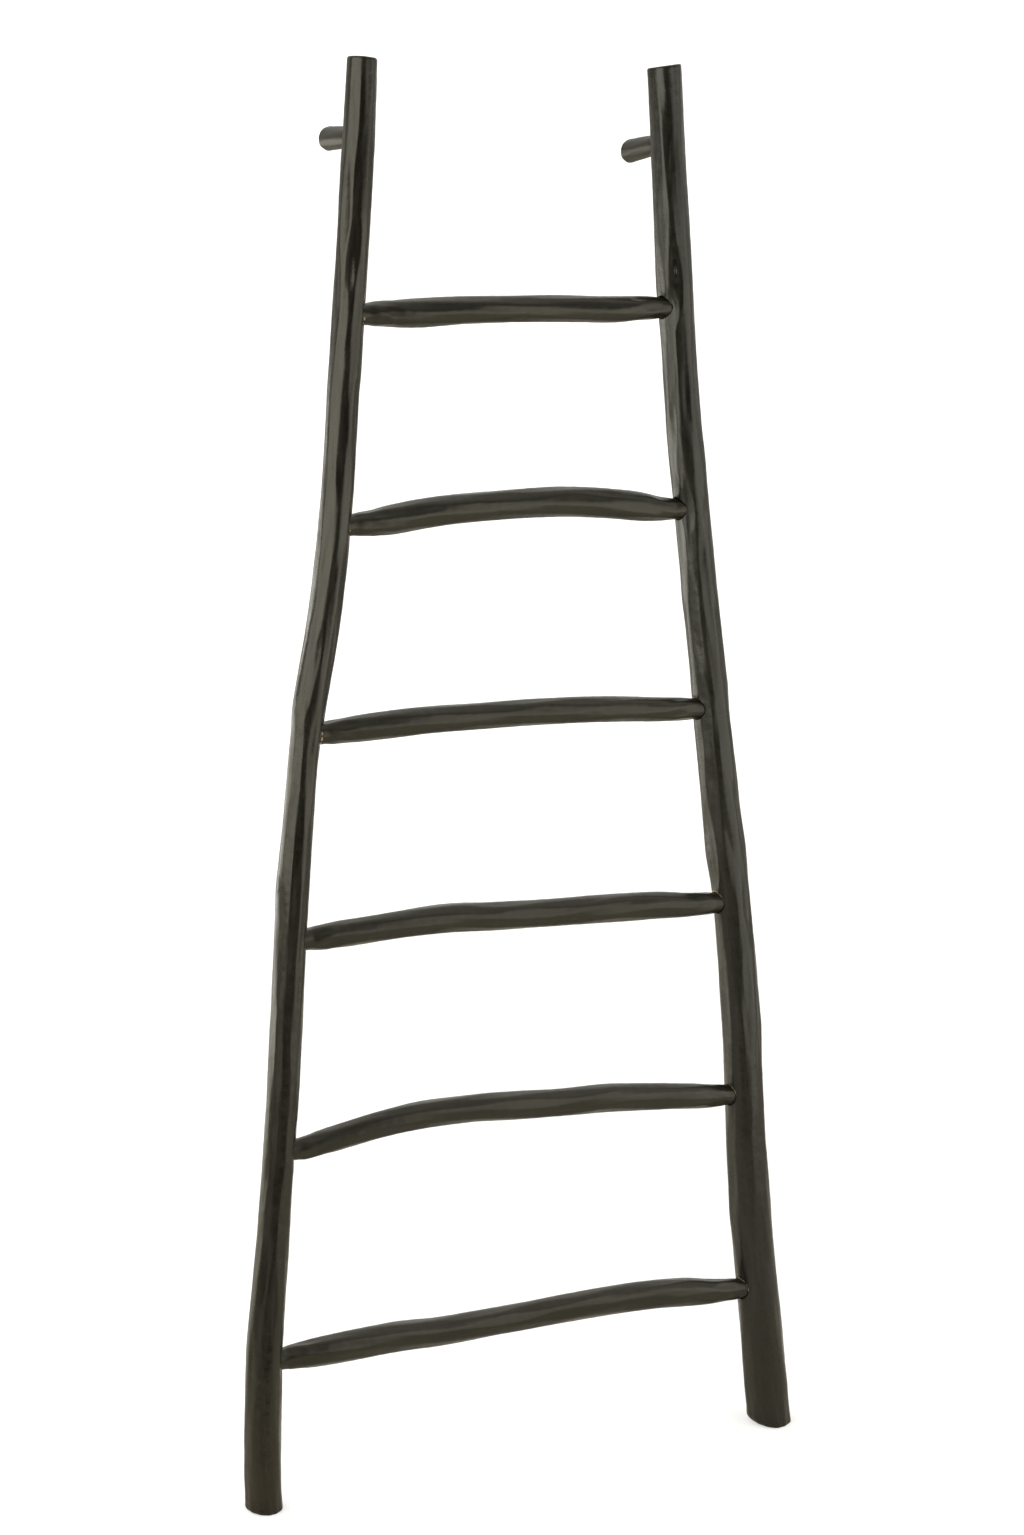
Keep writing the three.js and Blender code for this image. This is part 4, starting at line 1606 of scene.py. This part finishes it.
    def build(self, groups: Groups) -> None:
        """Builds and dresses every piece, each in place of its CAD node.

        Args:
            groups: the shader node groups.
        """
        for pole in (self.left, self.right):
            wood = StainedWood(f"stained_{pole.name}", lacquer=pole.lacquer, foot_brown=0.55)
            self.finish(pole, Slot.POLE, wood.build(groups))
        rung_wood = StainedWood(
            "stained_rung", light=(0.015, 0.0134, 0.0091, 1), lacquer=(1.0, 0.955, 0.795, 1), gloss=0.29
        )
        peg_wood = StainedWood(
            "stained_peg",
            light=(0.021, 0.018, 0.013, 1),
            lacquer=(1.0, 0.94, 0.68, 1),
            gloss=0.38,
            specular=0.28,
        )
        for pieces, slot, material in (
            (self.rungs, Slot.RUNG, rung_wood.build(groups)),
            (self.pegs, Slot.PEG, peg_wood.build(groups)),
            (self.nails, Slot.NAIL, BlackenedIron("blackened_nail").build()),
        ):
            for piece in pieces:
                self.finish(piece, slot, material)

    def finish(self, part: Part, slot: Slot, material: bpy.types.Material) -> None:
        """Stands a part's skin on the floor, dresses it and puts it in place of its CAD node.

        Args:
            part: the part in the ladder's plane.
            slot: its slot in the record, not used.
            material: its finish.
        """
        skin, node = part.skin(), part.name
        skin.points = [self.stand(points) for points in skin.points]
        piece = skin.build(f"{node}_shaved")
        piece.data.materials.append(material)
        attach(piece, "root")
        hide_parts(node)
        log.info("%s: %d points, %d faces", piece.name, len(piece.data.vertices), len(piece.data.polygons))


# ---- the studio


@dataclass
class Studio:
    """Plain pale floor, soft light and the photograph's camera.

    The camera's place and angles are in the ladder's plane. Softboxes have a name, degrees to the right of
    the camera as seen from the ladder, the height of the lower edge, width and height, and power per square
    metre.
    """

    ladder: Ladder
    lens: float = 90.0
    sensor: float = 36.0
    stand_at: tuple[float, float, float] = (-2327.2, -4577.1, 1566.0)
    yaw: float = math.radians(27.103)
    pitch: float = math.radians(6.26)
    roll: float = math.radians(-0.497)
    sway: float = math.radians(0.95979)
    front: tuple[float, float] = (-2.33, -4.449)
    away: tuple[float, float, float] = (0.464, 0.886, 0)
    room: float = 0.02
    ceiling: float = 0.4
    backdrop: float = 0.9
    lamp_away: float = 2.3
    tone: tuple[float, float, float] = (1, 0.985, 0.935)
    floor_size: float = 150.0
    glow: tuple[float, float] = (0.5, 0.78)
    glow_reach: tuple[float, float] = (0.9, 4.5)
    bounce: Colour = (0.7, 0.665, 0.575, 1)
    grey: Colour = (0.6, 0.6, 0.6, 1)
    softboxes: tuple[tuple[str, float, float, tuple[float, float], float], ...] = (
        ("softbox_left", -46, 0.85, (2.4, 2.3), 9.6),
        ("softbox_side", -108, 0.05, (2.3, 1.2), 10.0),
        ("softbox_right", 68, 0.3, (2.5, 2.1), 5.0),
    )

    def camera(self) -> None:
        """Puts the camera where the photograph was taken, found in the ladder's own plane."""
        sin, cos = math.sin, math.cos
        ahead = Vector((sin(self.yaw) * cos(self.pitch), cos(self.yaw) * cos(self.pitch), -sin(self.pitch)))
        right = Vector((cos(self.yaw), -sin(self.yaw), 0))
        up = right.cross(ahead)
        right, up = right * cos(self.roll) + up * sin(self.roll), up * cos(self.roll) - right * sin(self.roll)
        sway = Matrix.Rotation(self.sway, 3, "Y")
        axes = [Vector(self.ladder.turned(np.array(sway @ way))) for way in (right, up, -ahead)]
        place = self.ladder.stand(np.array(self.stand_at))
        data = bpy.data.cameras.new("photo_camera")
        data.lens, data.sensor_width, data.sensor_fit = self.lens, self.sensor, "AUTO"
        data.clip_end = 2 * self.floor_size
        camera = bpy.data.objects.new("photo_camera", data)
        bpy.context.scene.collection.objects.link(camera)
        turn = Matrix(axes).transposed()
        camera.matrix_world = Matrix.Translation(Vector(place)) @ turn.to_4x4()
        bpy.context.scene.camera = camera

    def softbox(self, name: str, turn: float, foot: float, size: tuple[float, float], shine: float) -> None:
        """An upright rectangular lamp that faces the ladder.

        Args:
            name: name of the lamp.
            turn: degrees to the right of the camera, as seen from the ladder.
            foot: height of its lower edge.
            size: width and height.
            shine: power for each square metre.
        """
        data = bpy.data.lights.new(name, "AREA")
        data.shape, data.size, data.size_y = "RECTANGLE", *size
        data.energy = shine * size[0] * size[1]
        data.color = self.tone
        lamp = bpy.data.objects.new(name, data)
        towards = math.atan2(self.front[1], self.front[0]) + math.radians(turn)
        middle = foot + size[1] / 2
        place = Vector((self.lamp_away * math.cos(towards), self.lamp_away * math.sin(towards), middle))
        lamp.location = place
        lamp.rotation_euler = (Vector((0, 0, middle)) - place).to_track_quat("-Z", "Y").to_euler()
        bpy.context.scene.collection.objects.link(lamp)

    def world(self) -> None:
        """Pale surroundings, white where the camera looks straight at them."""
        world = bpy.data.worlds.new("studio")
        bpy.context.scene.world = world
        world.use_nodes = True
        nodes = Nodes(world.node_tree)
        path = nodes.add("ShaderNodeLightPath")
        place = nodes.add("ShaderNodeTexCoord").outputs["Generated"]
        behind = nodes.ranged(nodes.towards(place, self.away), -0.45, 0.45, 0, self.backdrop)
        above = nodes.ranged(nodes.towards(place, UP), 0.15, 0.85, self.room, self.ceiling)
        light = {"Color": (*self.tone, 1), "Strength": nodes.plus(above, behind)}
        light = nodes.add("ShaderNodeBackground", light).outputs[0]
        seen = nodes.add("ShaderNodeBackground", {"Color": WHITE, "Strength": 1.0}).outputs[0]
        mix = nodes.add("ShaderNodeMixShader", {"Fac": path.outputs["Is Camera Ray"], 1: light, 2: seen})
        nodes.add("ShaderNodeOutputWorld", {"Surface": mix.outputs[0]})

    def floor(self) -> None:
        """A wide pale floor that keeps the ladder's shadow."""
        size = self.floor_size
        mesh = bpy.data.meshes.new("floor")
        corners = [(-size, -size, 0), (size, -size, 0), (size, size, 0), (-size, size, 0)]
        mesh.from_pydata(corners, [], [(0, 1, 2, 3)])
        floor = bpy.data.objects.new("floor", mesh)
        bpy.context.scene.collection.objects.link(floor)
        material, nodes = bare_material("pale_floor")
        seen = nodes.add("ShaderNodeLightPath").outputs["Is Camera Ray"]
        away = nodes.length(nodes.add("ShaderNodeTexCoord").outputs["Object"])
        glow = nodes.ranged(away, *self.glow_reach, *self.glow)
        nodes.dress(
            {
                "Base Color": nodes.mixed(seen, self.bounce, self.grey),
                "Roughness": 0.9,
                "Specular IOR Level": 0.1,
                "Emission Color": WHITE,
                "Emission Strength": nodes.times(seen, glow),
            }
        )
        mesh.materials.append(material)

    def build(self) -> None:
        """Sets the camera, surroundings, floor and lamps."""
        self.camera()
        self.world()
        self.floor()
        for softbox in self.softboxes:
            self.softbox(*softbox)


def main() -> None:
    """Builds the ladder and its studio."""
    logging.basicConfig(level=logging.INFO, format="%(name)s: %(message)s")
    bpy.context.scene.view_settings.view_transform = "Standard"
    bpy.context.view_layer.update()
    ladder = Ladder()
    Studio(ladder).build()
    ladder.build(Groups())


if __name__ == "__main__":
    main()
